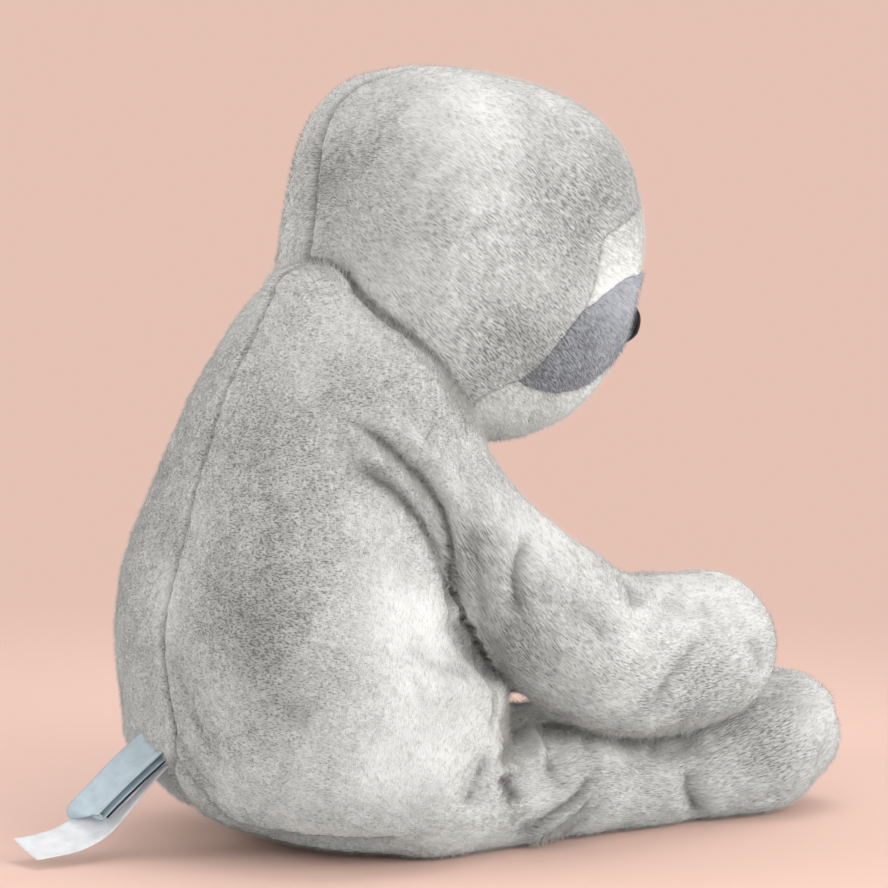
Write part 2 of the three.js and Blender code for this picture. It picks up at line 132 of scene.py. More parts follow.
# Seams: height of the seat seam behind and in front, and how far forward it bends and the belly panel starts
SEAT_SEAM_BACK = 44.5
SEAT_SEAM_FRONT = 13.0
SEAT_SEAM_FOLD = -26.0
BELLY_SEAM = 52.0
LIMB_ROUND = 31.0  # a limb's half thickness, about
LEG_SEAM = 52.0  # how far out the legs' seams run
CORES = {"torso": (25, 0, 150), "arm": (57, 74, 139), "leg": (120, 52, 24)}  # a point well inside each form
CROSSINGS = {  # where a limb's skin leaves the torso and where it is free, forward, out and up
    "arm": ((42, 55, 196), (52, 72, 140)),
    "leg": ((72, 52, 30), (118, 52, 25))}
GAP = 0.65  # between the hand and the leg
PAINTED_SHADING_RANGE = 1.25  # the brightest painted light and shade that a skin's vertex colours hold


def place(forward, out, height):
    return np.array([out, -forward, height], float)


def core_of(own, sign=1):
    forward, out, height = CORES[own]
    return place(forward, sign * out, height)


def pitched(degrees):
    return place(math.cos(math.radians(degrees)), 0, -math.sin(math.radians(degrees)))


head_axis = pitched(HEAD_TILT)
sight = pitched(GAZE)
side_way = np.array([1.0, 0, 0])
brow_way = np.cross(sight, side_way)
crown_way = np.cross(head_axis, side_way)


def ease(value, low, high):
    t = np.clip((value - low) / (high - low), 0, 1)
    return t * t * (3 - 2 * t)


def arc_of(points):
    """The distance along a line of points, at each of them."""
    return np.concatenate([[0], np.cumsum(np.linalg.norm(np.diff(points, axis=0), axis=1))])


def ways_along(line):
    """The unit ways in which a line of points runs."""
    ways = np.gradient(line, axis=0)
    return ways / np.linalg.norm(ways, axis=1, keepdims=True)


def ways_round(ways):
    """The level way across a limb that runs these ways, and the way up from both."""
    across = side_way - ways * ways[:, :1]
    across /= np.linalg.norm(across, axis=1, keepdims=True)
    return across, np.cross(ways, across)


def spline(stations, share):
    """Points on a centripetal Catmull-Rom curve through the stations."""
    p = np.asarray(stations, float)
    p = np.vstack([2 * p[0] - p[1], p, 2 * p[-1] - p[-2]])
    s = np.clip(np.atleast_1d(share), 0, 1) * (len(p) - 3)
    i = np.minimum(s.astype(int), len(p) - 4)
    w = (s - i)[:, None]
    a, b, c, d = (p[i + k] for k in range(4))
    gaps = [np.maximum(np.linalg.norm(q - r, axis=1, keepdims=True), 1e-9) ** 0.5
            for q, r in ((b, a), (c, b), (d, c))]
    out_b = ((b - a) / gaps[0] - (c - a) / (gaps[0] + gaps[1]) + (c - b) / gaps[1]) * gaps[1]
    in_c = ((c - b) / gaps[1] - (d - b) / (gaps[1] + gaps[2]) + (d - c) / gaps[2]) * gaps[1]
    return (b + out_b * w + (3 * (c - b) - 2 * out_b - in_c) * w ** 2
            + (2 * (b - c) + out_b + in_c) * w ** 3)


torso_levels = spline(TORSO, np.linspace(0, 1, 700))


def torso_at(height):
    """(forward, half width, depth in front, depth behind, fullness) of the torso at these heights."""
    top = TORSO[-1, 0]
    low = np.clip(height, 0, top)
    wide, deep, forward, behind, full = (
        np.interp(low, torso_levels[:, 0], torso_levels[:, k]) for k in range(1, 6))
    dome = np.sqrt(np.clip(1 - (np.maximum(height - top, 0) / (TORSO_TOP - top)) ** 2, 1e-4, 1))
    return forward, wide * dome, deep * dome, behind * dome, full


def section_ratio(x, f, wide, deep, behind, full):
    """1 on a torso section's outline, less inside it."""
    power = np.where(f < 0, full, 2.0)
    depth = np.where(f < 0, behind, deep)
    return (np.abs(x / wide) ** power + np.abs(f / depth) ** power + 1e-9) ** (1 / power)


def torso_field(points):
    """About how far points lie outside the torso, and the way out of it."""
    def ratio(p):
        forward, *section = torso_at(p[:, 2])
        return section_ratio(p[:, 0], -p[:, 1] - forward, *section)
    here = ratio(points)
    slope = np.stack([ratio(points + step) - here for step in np.eye(3)], 1)
    size = np.maximum(np.linalg.norm(slope, axis=1), 4e-3)
    return (here - 1) / size, slope / size[:, None]


def head_reach(units):
    """The head's radius in these directions from its centre."""
    a, b, c = (units @ way for way in (head_axis, side_way, crown_way))
    power = HEAD_POWER + (HEAD_BACK_POWER - HEAD_POWER) * ease(-a, -0.25, 0.6)
    deep = np.where(a < 0, HEAD_BACK, HEAD_FRONT)
    return (np.abs(a / deep) ** power + np.abs(b / HEAD_HALF_WIDTH) ** power
            + np.abs(c / HEAD_HALF_HEIGHT) ** power) ** (-1 / power)


def head_field(points):
    """How far points lie outside the head, and the way out of it."""
    away = points - HEAD_CENTRE
    reach = np.linalg.norm(away, axis=1) + 1e-9
    units = away / reach[:, None]
    return reach - head_reach(units), units


def head_units(points):
    """The directions in which the head's centre sees these points."""
    return head_field(points)[1]


NECK_WAY = place(-0.75, 0, -0.66)
TUCK = -1.5  # how far the body's skin runs on under the head's


def below_head(points):
    """Plus outside the head and below the crease in which the body meets it, minus elsewhere."""
    away = points - HEAD_CENTRE
    depth, units = head_field(points)
    rise = 11.6 * np.exp(-(np.abs(points[:, 0]) / 32) ** 2.4) * ease(-away @ place(1, 0, 0), 30, 60)
    past = away @ NECK_WAY - 66.0 + rise + 0.5 * np.maximum(depth, 0)
    return soft_min(depth - TUCK, past, 4.0), units


def limb_line(stations, sign, count=160):
    """A limb's middle line and its half thickness there."""
    mid = np.array([place(*s[:3]) for s in stations])
    mid[:, 0] *= sign
    share = np.linspace(0, 1, count)
    return spline(mid, share), spline(stations[:, 3:4] @ np.ones((1, 3)), share)[:, 0]


def limb_field(points, stations, sign, width=1.0, count=80):
    """How far points lie outside a limb, the way out of it, and their share along it."""
    line, halves = limb_line(stations, sign, count)
    best = np.full(len(points), 1e9)
    nearest = np.zeros(len(points), int)
    for i in range(count):
        away = points - line[i]
        gap = np.sqrt((away[:, 0] / width) ** 2 + away[:, 1] ** 2 + away[:, 2] ** 2) - halves[i]
        nearer = gap < best
        best[nearer] = gap[nearer]
        nearest[nearer] = i
    out = points - line[nearest]
    out /= np.linalg.norm(out, axis=1, keepdims=True) + 1e-9
    return best, out, nearest / (count - 1)


def soft_min(a, b, softness):
    """The smaller of two distances, with a fillet where they are alike."""
    near = np.clip(1 - np.abs(a - b) / softness, 0, None)
    return np.minimum(a, b) - near * near * softness / 4


def body_fields(points):
    """How far points lie outside the torso, the nearest arm and the nearest leg, and of all as one form."""
    both = points.copy()
    both[:, 0] = np.abs(both[:, 0])
    torso = torso_field(both)[0]
    arm = limb_field(both, ARM, 1, ARM_WIDTH, 50)[0]
    leg = limb_field(both, LEG, 1, LEG_WIDTH, 50)[0]
    shoulder = 3 + 31 * ease(points[:, 2], 150, 186) * (1 - 0.8 * ease(-points[:, 1], 28, 58))
    whole = soft_min(soft_min(torso, arm, shoulder), leg, 7.0 - 6.5 * ease(-points[:, 1], 72, 98))
    return {"torso": torso, "arm": arm, "leg": leg}, whole


# Noise and drawn lines

def hashed(i, j, k, seed):
    n = (i * 374761393 + j * 668265263 + k * 2147483647 + seed * 1274126177) & 0xFFFFFFFF
    n = ((n ^ (n >> 13)) * 1274126177) & 0xFFFFFFFF
    return ((n ^ (n >> 16)) & 0xFFFF) / 32767.5 - 1


def noise(points, size, seed=0):
    """Smooth value noise from -1 to 1, with features of about this size."""
    p = points / size + 1000
    base = np.floor(p).astype(np.int64)
    f = p - base
    f = f * f * (3 - 2 * f)
    total = np.zeros(len(points))
    for corner in range(8):
        di, dj, dk = corner & 1, corner >> 1 & 1, corner >> 2 & 1
        weight = (np.where(di, f[:, 0], 1 - f[:, 0]) * np.where(dj, f[:, 1], 1 - f[:, 1])
                  * np.where(dk, f[:, 2], 1 - f[:, 2]))
        total += weight * hashed(base[:, 0] + di, base[:, 1] + dj, base[:, 2] + dk, seed)
    return total


def from_line(pixels, line):
    """Distance from a drawn line and the share along it."""
    line = np.asarray(line, float)
    best = np.full(len(pixels), 1e9)
    share = np.zeros(len(pixels))
    done = arc_of(line)
    steps = np.diff(done)
    for i, (a, b) in enumerate(zip(line[:-1], line[1:])):
        way = b - a
        t = np.clip(((pixels - a) @ way) / (way @ way), 0, 1)
        reach = np.linalg.norm(pixels - (a + t[:, None] * way), axis=1)
        nearer = reach < best
        best[nearer] = reach[nearer]
        share[nearer] = ((done[i] + t * steps[i]) / done[-1])[nearer]
    return best, share


def smooth_line(line, per_step=6):
    return spline(line, np.linspace(0, 1, per_step * len(line)))


def within(pixels, ring):
    """Distance from a closed line, plus inside it and minus outside."""
    ring = np.vstack([ring, ring[:1]])
    reach, _ = from_line(pixels, ring)
    inside = np.zeros(len(pixels), bool)
    x, y = pixels.T
    for (x0, y0), (x1, y1) in zip(ring[:-1], ring[1:]):
        if y0 != y1:
            crossed = (y0 > y) != (y1 > y)
            inside ^= crossed & (x < x0 + (y - y0) * (x1 - x0) / (y1 - y0))
    return np.where(inside, reach, -reach)


# Meshes of the skins

def tube(count, around, first=0):
    """The numbers of the points in rings, from first on, and the faces between the rings."""
    index = first + np.arange(count * around).reshape(count, around)
    turned = np.roll(index, -1, axis=1)
    return index, np.stack([index[:-1], turned[:-1], turned[1:], index[1:]], -1).reshape(-1, 4).tolist()


def closed_form(rings, first, last):
    """Points and faces of a closed form: rings of points between two end points."""
    points = np.vstack([first[None], rings.reshape(-1, 3), last[None]])
    index, faces = tube(*rings.shape[:2], 1)
    turned = np.roll(index, -1, axis=1)
    end = np.full(len(index[0]), len(points) - 1)
    low = np.stack([0 * end, turned[0], index[0]], -1)
    high = np.stack([end, index[-1], turned[-1]], -1)
    return points, faces + low.tolist() + high.tolist()


def even(values, arc, spacing):
    """The values again at an even spacing along their arc."""
    count = max(int(round(arc[-1] / spacing)), 4)
    at = np.linspace(0, arc[-1], count + 1)
    return np.stack([np.interp(at, arc, column) for column in values.T], 1)


def torso_surface(spacing):
    """Rings of the torso: its flat seat, its side and its dome, in an even spacing."""
    shrink = np.linspace(0.02, 1, 40)[:, None]
    seat = TORSO[0] * np.where([0, 1, 1, 0, 1, 0], shrink, 1.0)
    rise = np.linspace(0.05, 1.5, 30)[:, None]
    dome = TORSO[-1] * np.where([0, 1, 1, 0, 1, 0], np.cos(rise), 1.0)
    dome[:, 0] += (TORSO_TOP - TORSO[-1, 0]) * np.sin(rise[:, 0])
    profile = np.vstack([seat, torso_levels[1:], dome])
    height, wide, deep, forward, behind, full = (
        column[:, None] for column in even(profile, arc_of(profile[:, [0, 1]]), spacing).T)
    around = int(2 * math.pi * 88 / spacing / 4) * 4
    angle = np.linspace(0, 2 * math.pi, around, endpoint=False)
    x, f = np.cos(angle) + 0 * height, -np.sin(angle) + 0 * height
    reach = 1 / section_ratio(x, f, wide, deep, behind, full)
    rings = np.stack([reach * x, -forward - reach * f, height + 0 * x], -1)
    return closed_form(rings, place(TORSO[0, 3], 0, 0), place(TORSO[-1, 3], 0, TORSO_TOP))


def ball_surface(count):
    """Unit directions and faces of a ball made of six gridded faces."""
    t = np.tan(np.linspace(-math.pi / 4, math.pi / 4, count + 1))
    u, v = np.meshgrid(t, t, indexing="ij")
    one = np.ones_like(u)
    sides = [(one, u, v), (-one, -u, v), (-u, one, v), (u, -one, v), (-v, u, one), (v, u, -one)]
    points = np.vstack([np.stack([c.ravel() for c in side], 1) for side in sides])
    points /= np.linalg.norm(points, axis=1, keepdims=True)
    _, first, known = np.unique(np.round(points, 5), axis=0, return_index=True, return_inverse=True)
    known = known.ravel()
    grid = np.arange((count + 1) ** 2).reshape(count + 1, count + 1)
    quads = np.stack([grid[:-1, :-1], grid[1:, :-1], grid[1:, 1:], grid[:-1, 1:]], -1).reshape(-1, 4)
    faces = np.vstack([quads + k * (count + 1) ** 2 for k in range(6)])
    return points[first], known[faces].tolist()


def head_surface(spacing):
    units, faces = ball_surface(int(round(math.pi / 2 * 80 / spacing)))
    ways = np.stack([head_axis, side_way, crown_way])
    units = units @ ways
    return with_muzzle(HEAD_CENTRE + head_reach(units)[:, None] * units), faces


def with_muzzle(points):
    """The head's front pushed out along the line of sight to a low, soft muzzle."""
    away = points - HEAD_CENTRE
    out, rise, depth = away @ side_way, away @ brow_way + MUZZLE_DROP, away @ sight
    wide, low, long = MUZZLE
    inside = 1 - (out / wide) ** 2 - np.where(rise < 0, (rise / low) ** 2, np.abs(rise / BRIDGE) ** 3)
    front = long * np.sign(inside) * np.sqrt(np.abs(inside))
    soft = 16.0
    near = np.maximum(soft - np.abs(depth - front), 0) / soft
    raised = np.maximum(depth, front) + near ** 2 * soft / 4
    push = np.where(depth > 0, raised - depth, 0)
    return points + push[:, None] * sight


def limb_surface(stations, sign, width, end_length, spacing):
    line, halves = limb_line(stations, sign, 500)
    ways = ways_along(line)
    turn = np.linspace(1.5, 0.04, 30)
    start = [(line[0] - math.sin(a) * halves[0] * ways[0], ways[0], halves[0] * math.cos(a)) for a in turn]
    middle = list(zip(line, ways, halves))
    finish = [(line[-1] + math.sin(a) * end_length * ways[-1], ways[-1], halves[-1] * math.cos(a) ** 0.9)
              for a in turn[::-1]]
    rows = np.array([np.concatenate([p, w, [h]]) for p, w, h in start + middle + finish])
    steps = np.linalg.norm(np.diff(rows[:, :3], axis=0), axis=1) + 0.7 * np.abs(np.diff(rows[:, 6]))
    rows = even(rows, np.concatenate([[0], np.cumsum(steps)]), spacing)
    centre, along, half = rows[:, :3], rows[:, 3:6], rows[:, 6]
    across, up = ways_round(along)
    around = int(2 * math.pi * LIMB_ROUND / spacing / 4) * 4
    angle = np.linspace(0, 2 * math.pi, around, endpoint=False)
    rings = (centre[:, None] + (half * width)[:, None, None] * np.cos(angle)[None, :, None] * across[:, None]
             + half[:, None, None] * np.sin(angle)[None, :, None] * up[:, None])
    return closed_form(rings, line[0] - halves[0] * ways[0], line[-1] + end_length * ways[-1])


def numbers(items, field, width=1, kind=np.int32):
    """A field of every item of a mesh, as an array."""
    values = np.zeros(width * len(items), kind)
    items.foreach_get(field, values)
    return values


class Skin:
    """A closed skin in millimetres, cut along its seams but not yet parted into panels.
    Each cut is a function of points that is zero along a seam, in millimetres from it."""

    def __init__(self, points, faces, cuts=(), keep=None):
        mesh = bpy.data.meshes.new("skin")
        mesh.from_pydata(points.tolist(), [], faces)
        grown = bmesh.new()
        grown.from_mesh(mesh)
        if grown.calc_volume(signed=True) < 0:
            bmesh.ops.reverse_faces(grown, faces=grown.faces[:])
        where = grown.verts.layers.float_vector.new("where")
        for cut in cuts:
            there = np.array([v.co for v in grown.verts])
            for v, value in zip(grown.verts, cut(there).tolist()):
                v[where] = v.co
                v.co.z = value
            bmesh.ops.bisect_plane(grown, geom=grown.verts[:] + grown.edges[:] + grown.faces[:], dist=0.25,
                                   plane_co=(0, 0, 0), plane_no=(0, 0, 1))
            for v in grown.verts:
                v.co = v[where]
        if keep is not None:
            away = ~keep(np.array([v.co for v in grown.verts]))
            grown.verts.ensure_lookup_table()
            bmesh.ops.delete(grown, geom=[grown.verts[i] for i in np.flatnonzero(away)], context="VERTS")
        grown.to_mesh(mesh)
        grown.free()
        self.mesh = mesh
        self.rest = self.read("co")
        self.points = self.rest.copy()
        self.normals = self.read("normal")
        # painted light and shade, times the fabric's colour: 1 where there is none
        self.tint = np.ones(len(self.rest))
        self.shag = np.zeros(len(self.rest))  # 1 where the pile stands up shaggy
        self.ruffle = np.full(len(self.rest), 0.5)  # 0 where the pile is brushed smooth, 1 where ruffled
        self.rows = np.zeros(len(self.rest))  # 1 where it lies in level rows, 0 where it lies in streaks

    def read(self, field):
        return numbers(self.mesh.vertices, field, 3, np.float32).reshape(-1, 3).astype(float)

    def refresh(self):
        """Writes the points to the mesh and reads its normals again."""
        self.mesh.vertices.foreach_set("co", self.points.astype(np.float32).ravel())
        self.mesh.update()
        self.normals = self.read("normal")

    def relax(self, at, rounds=5):
        """Evens out these points and their neighbours."""
        if not len(at):
            return
        pairs = numbers(self.mesh.edges, "vertices", 2).reshape(-1, 2)
        chosen = np.zeros(len(self.points), bool)
        chosen[at] = True
        for _ in range(2):
            chosen[pairs[chosen[pairs].any(1)].ravel()] = True
        pairs = pairs[chosen[pairs].any(1)]
        both = np.vstack([pairs, pairs[:, ::-1]])
        count = np.bincount(both[:, 0], minlength=len(chosen))
        chosen &= count > 2
        for _ in range(rounds):
            sums = [np.bincount(both[:, 0], self.points[both[:, 1], k], len(chosen)) for k in range(3)]
            mean = np.stack(sums, 1)[chosen] / count[chosen, None]
            self.points[chosen] = 0.4 * self.points[chosen] + 0.6 * mean

    def swell(self, height):
        self.points = self.points + self.normals * np.asarray(height)[:, None]

    def centres(self):
        """The faces' centres, where their corners start, how many each has, and the corners' points."""
        starts, totals = (numbers(self.mesh.polygons, field) for field in ("loop_start", "loop_total"))
        corners = numbers(self.mesh.loops, "vertex_index")
        sums = np.add.reduceat(self.rest[corners], starts, axis=0)
        return sums / totals[:, None], starts, totals, corners


def new_object(name, points, faces):
    """A smooth mesh object from points in millimetres."""
    mesh = bpy.data.meshes.new(name)
    mesh.from_pydata((np.asarray(points) * MM).tolist(), [], faces)
    mesh.polygons.foreach_set("use_smooth", np.ones(len(mesh.polygons), bool))
    made = bpy.data.objects.new(name, mesh)
    bpy.context.collection.objects.link(made)
    return made


def tree_of(*pieces):
    """These pieces as one tree for rays."""
    points, faces = [], []
    for piece in pieces:
        base = len(points)
        points += [v.co.copy() for v in piece.data.vertices]
        faces += [[base + i for i in p.vertices] for p in piece.data.polygons]
    return BVHTree.FromPolygons(points, faces)


def add_hem(faces, maps, count):
    """Adds a strip of faces along the open edge. Its inner points are numbered from count, and what it
    gives back is the edge's own points in their order."""
    edges, at = {}, 0
    for face in faces:
        for i, a in enumerate(face):
            edges[(a, face[(i + 1) % len(face)])] = (at + i, at + (i + 1) % len(face))
        at += len(face)
    rim = [(pair, corners) for pair, corners in edges.items() if pair[::-1] not in edges]
    inner = {}
    for pair, _ in rim:
        for v in pair:
            inner.setdefault(v, count + len(inner))
    for (a, b), (i, j) in rim:
        faces.append([b, a, inner[a], inner[b]])
        maps += [maps[j], maps[i], maps[i], maps[j]]
    return list(inner)


def add_drawing(made, skin, used, hem):
    """Writes a skin's painted light and shade, rows and ruffle as vertex colours, and where its pile grows as
    groups.
    """
    mesh = made.data
    # the turned-in hem gets painted shade: its painted shading is 0.6
    tint, rows, ruffle = (np.concatenate([values[used], np.full(hem, at_hem)]) for values, at_hem in (
        (skin.tint, 0.6), (skin.rows, 0.0), (skin.ruffle, 0.5)))
    colours = mesh.attributes.new("tint", "BYTE_COLOR", "CORNER")
    corner = numbers(mesh.loops, "vertex_index")
    shade = np.clip(tint[corner] / PAINTED_SHADING_RANGE, 0, 1)
    rgba = np.stack([shade, rows[corner], ruffle[corner], np.ones_like(shade)], 1).astype(np.float32)
    colours.data.foreach_set("color", rgba.ravel())
    for kind, values in (("pile", 0.35 + 0.65 * skin.ruffle[used]), ("shag", skin.shag[used])):
        group = made.vertex_groups.new(name=kind)
        for level in np.linspace(0.1, 1, 10):
            group.add(np.flatnonzero(np.abs(values - level) <= 0.05).tolist(), float(level), "REPLACE")
    made["area"] = float(sum(p.area for p in mesh.polygons))
    made["shag"] = float(skin.shag[used].mean())


def panel(skin, name, chosen, nap, hem=3.0, lift=None):
    """One sewn panel of a skin, as an object in metres with its edge turned in.
    chosen(points) says which face centres belong to it; nap(points) gives each point's way along the
    pile and its angle and radius around it, in millimetres, for the texture map; lift(points) says how
    far it stands off the skin."""
    centres, starts, totals, corners = skin.centres()
    taken = np.flatnonzero(chosen(centres))
    loops = np.concatenate([np.arange(starts[f], starts[f] + totals[f]) for f in taken])
    used, index = np.unique(corners[loops], return_inverse=True)
    points, normals = skin.points[used], skin.normals[used]
    inward = points - hem * normals
    if lift is not None:
        points = points + lift(skin.rest[used])[:, None] * normals
    along, angle, radius = nap(skin.rest[used])
    centre_angle = np.repeat(nap(centres[taken])[1], totals[taken])
    turned = angle[index] - centre_angle
    turned -= 2 * math.pi * np.round(turned / (2 * math.pi))
    map_u, map_v = along[index], (centre_angle + turned) * np.broadcast_to(radius, along.shape)[index]
    faces = [f.tolist() for f in np.split(index, np.cumsum(totals[taken])[:-1])]
    maps = list(zip(map_u.tolist(), map_v.tolist()))
    rim = add_hem(faces, maps, len(points))
    made = new_object(name, np.vstack([points, inward[rim]]), faces)
    layer = made.data.uv_layers.new(name="nap")
    layer.data.foreach_set("uv", (np.array(maps) * MM).astype(np.float32).ravel())
    add_drawing(made, skin, used, len(rim))
    return made


# Folds, seams and pile relief

PIXEL = 0.456  # millimetres for each of the photograph's pixels, at the toy's middle
SPACING = 1.25
COARSE = 4.0  # the fillings' spacing
SIDES = {"right": -1, "left": 1}

DEEPEST = -4.6  # so that a fold stays above the filling

# Folds as lines in the photograph's pixels, with their height and half width in millimetres
FOLDS = [
    # the gathers from the shoulder down along the arm
    ([(330, 416), (350, 423), (372, 434), (397, 456), (420, 480), (438, 506), (447, 533), (450, 566),
      (453, 600), (459, 622), (474, 642)], -5.6, 2.1),
    ([(346, 447), (372, 456), (392, 473), (414, 498), (434, 527), (445, 556)], 4.0, 4.6),
    ([(344, 466), (352, 468), (373, 477), (396, 492), (412, 511), (427, 532), (440, 556)], -2.8, 1.5),
    ([(335, 505), (380, 512), (410, 545), (436, 590)], 2.4, 8.0),
    ([(392, 424), (420, 445), (440, 470), (455, 500), (462, 530)], 2.6, 5.0),
    # the back and the side of the torso
    ([(146, 632), (152, 670), (166, 720), (196, 775), (235, 815)], -2.6, 5.0),
    ([(176, 640), (182, 690), (200, 735), (235, 780)], -1.8, 6.0),
    ([(132, 650), (138, 700), (150, 735)], 1.6, 5.0),
    ([(262, 690), (292, 716), (318, 716)], -1.8, 8.0),
    ([(400, 640), (440, 668), (480, 672)], -1.8, 7.0),
    ([(415, 700), (450, 690), (488, 694)], 2.0, 9.0),
    ([(492, 748), (484, 772), (474, 796), (464, 815)], -3.4, 6.0),
    ([(420, 745), (440, 790), (440, 830)], 1.8, 10.0),
    # the arm, the elbow and the hand
    ([(536, 532), (524, 548), (516, 570), (516, 598), (524, 625)], -4.0, 4.6),
    ([(520, 526), (508, 548), (503, 575), (503, 605)], 2.6, 4.4),
    ([(552, 556), (560, 580), (560, 606)], 2.2, 9.0),
    ([(480, 480), (484, 510), (480, 545)], 2.0, 8.0),
    ([(470, 520), (476, 560), (480, 600), (492, 630)], -1.8, 4.5),
    ([(622, 566), (634, 588), (640, 612)], -3.4, 4.5),
    ([(652, 722), (660, 700), (672, 680), (690, 655), (712, 628)], -2.6, 4.0),
    ([(560, 606), (590, 618), (610, 650)], -2.0, 9.0),
    ([(545, 640), (580, 655), (606, 690)], 2.0, 9.0),
    ([(748, 632), (760, 655), (762, 678)], -2.0, 4.5),
    ([(735, 650), (742, 664), (744, 682)], 1.2, 4.0),
    ([(655, 590), (690, 610), (720, 600)], -1.6, 9.0),
    # the gathers between hip and leg
    ([(504, 690), (509, 715), (510, 745), (507, 772)], -3.6, 2.4),
    ([(513, 695), (525, 722), (537, 748), (545, 776)], 4.5, 5.0),
    ([(534, 722), (546, 748), (556, 776)], -2.4, 2.4),
    ([(508, 772), (515, 788), (521, 806)], -4.6, 5.0),
    ([(505, 838), (530, 830), (553, 816), (575, 800), (589, 783), (603, 764)], -3.4, 2.2),
    ([(520, 840), (545, 829), (566, 816), (584, 799), (596, 782)], 3.0, 2.6),
    ([(536, 842), (561, 827), (581, 811), (597, 791)], -2.6, 2.0),
    ([(553, 842), (573, 830), (595, 813), (612, 792)], -1.8, 2.0),
    ([(540, 752), (556, 776), (575, 790)], -2.0, 6.0),
    # the shin and the foot
    ([(560, 740), (590, 752), (620, 750)], 1.6, 6.0),
    ([(580, 735), (592, 752), (604, 775)], -1.8, 5.0),
    ([(640, 745), (668, 752), (700, 735)], -1.6, 6.0),
    ([(700, 822), (696, 806), (690, 782), (694, 765)], -4.6, 4.0),
    ([(668, 815), (676, 790), (690, 770)], 1.4, 5.0),
    ([(716, 815), (712, 795), (722, 775)], 1.8, 6.0),
    ([(760, 690), (790, 700), (815, 722)], -1.6, 8.0),
]

# Hollows of the torso's own skin beside the arm and above the leg
TORSO_FOLDS = [
    ([(458, 606), (468, 634), (484, 662), (500, 690)], -7.0, 6.0),
    ([(436, 690), (468, 684), (490, 694), (506, 722)], 3.0, 10.0),
]

# Brushed and ruffled places in the photograph's pixels: middle, radius, and how ruffled they are from -1 to 1
BRUSHED = [
    ((470, 90), 75, -0.8),    # crown
    ((600, 195), 62, 0.9),    # brow
    ((622, 300), 30, -1.0),   # top of the patch
    ((345, 170), 55, 0.5),    # back of the head
    ((515, 355), 52, 1.2),    # cheek
    ((150, 600), 50, -0.8),   # left of the back seam
    ((270, 440), 80, 0.6),    # upper back
    ((240, 610), 85, 0.9),    # middle of the back
    ((415, 620), 60, -0.9),   # side
    ((430, 750), 85, -0.8),   # hip
    ((466, 565), 34, 1.0),    # below the armpit
    ((520, 645), 36, 1.2),    # elbow
    ((555, 530), 45, -1.2),   # upper arm
    ((700, 590), 60, -0.9),   # top of the forearm and hand
    ((700, 650), 45, 0.4),    # side of the hand
    ((690, 695), 40, 0.5),    # between hand and leg
    ((760, 735), 45, 0.7),    # side of the foot
    ((815, 710), 30, -0.6),   # toe
]

# Where the pile stands up shaggy: creases as lines in the photograph's pixels
SHAG = [
    [(300, 256), (316, 263), (351, 282), (376, 312), (403, 334), (436, 364), (458, 396), (476, 424)],
    [(345, 440), (385, 452), (412, 482), (436, 525), (450, 570)],
    [(352, 470), (395, 486), (421, 521), (446, 577)],
    [(452, 560), (456, 612), (476, 645), (500, 677), (547, 712)],
    [(508, 690), (514, 740), (512, 800), (545, 836)],
    [(540, 836), (575, 815), (600, 780)],
    [(535, 735), (560, 724), (600, 736), (664, 735), (700, 714)],
]


def in_near_photo(points):
    """Pixels of points in millimetres; the toy's left side is read where its right side shows."""
    near = points.copy()
    near[:, 0] = -np.abs(near[:, 0])
    return in_photo(near * MM)


def facing(points, normals):
    """How much each point faces the camera, with the left side read as the right."""
    near = normals.copy()
    near[:, 0] = np.where(points[:, 0] > 0, -near[:, 0], near[:, 0])
    return ease(near @ camera_side, 0.0, 0.3)


def add_folds(skin, folds=()):
    """Presses and raises the drawn folds where the camera sees the skin, and paints shade into the valleys.
    """
    margin = 40  # pixels around a fold within which it is felt
    pixels = in_near_photo(skin.points)
    seen = facing(skin.points, skin.normals)
    far_side = skin.rest[:, 0] > 0
    height = np.zeros(len(pixels))
    for number, (line, rise, width) in enumerate([*FOLDS, *folds]):
        drawn = smooth_line(line)
        box = (pixels > drawn.min(0) - margin).all(1) & (pixels < drawn.max(0) + margin).all(1)
        at = np.flatnonzero(box)
        if not len(at):
            continue
        across, share = from_line(pixels[at], drawn)
        fade = ease(share, 0, 0.22) * (1 - ease(share, 0.78, 1))
        strength = np.where(far_side[at], 0.75 + 0.2 * math.sin(7 * number), 1.0)
        shape = np.exp(-(across * PIXEL / width) ** (1.25 if rise < 0 else 2)) * fade * strength * seen[at]
        height[at] += rise * shape
        # painted shade in the valleys of the folds, deeper for deeper folds
        if rise < 0:
            skin.tint[at] *= 1 - 0.5 * np.clip(-rise / 4, 0, 1.1) * shape ** 2
    skin.swell(np.maximum(height, DEEPEST))
    add_brushing(skin, pixels)
    for line in SHAG:
        across, share = from_line(pixels, smooth_line(line, 3))
        skin.shag = np.maximum(skin.shag, (1 - ease(across * PIXEL, 2, 8)) * seen)


def add_brushing(skin, pixels):
    """Brushed places are smooth and painted lighter, a painted sheen, and ruffled ones are rough and painted
    darker, a painted shade at the pile's base.
    """
    for middle, radius, amount in BRUSHED:
        reach = np.linalg.norm((pixels - middle) / radius, axis=1)
        skin.ruffle += 0.5 * amount * np.exp(-reach ** 2)
    skin.ruffle = np.clip(skin.ruffle + 0.12 * noise(skin.points, 14, 77), 0, 1)
    # painted sheen on brushed places and painted shade on ruffled ones
    skin.tint *= 1 - 0.34 * (skin.ruffle - 0.5)


def add_seam(skin, distance, where=1.0, depth=1.7, width=1.9, puff=0.5):
    """A sewn groove where the distance is zero, with the fabric a little proud beside it and painted shade in
    the groove.
    """
    groove = np.exp(-(distance / width) ** 2)
    beside = np.exp(-((np.abs(distance) - 3.2 * width) / (2 * width)) ** 2)
    skin.swell((puff * beside - depth * groove) * where)
    # painted shade in the groove
    skin.tint *= 1 - 0.22 * groove * where


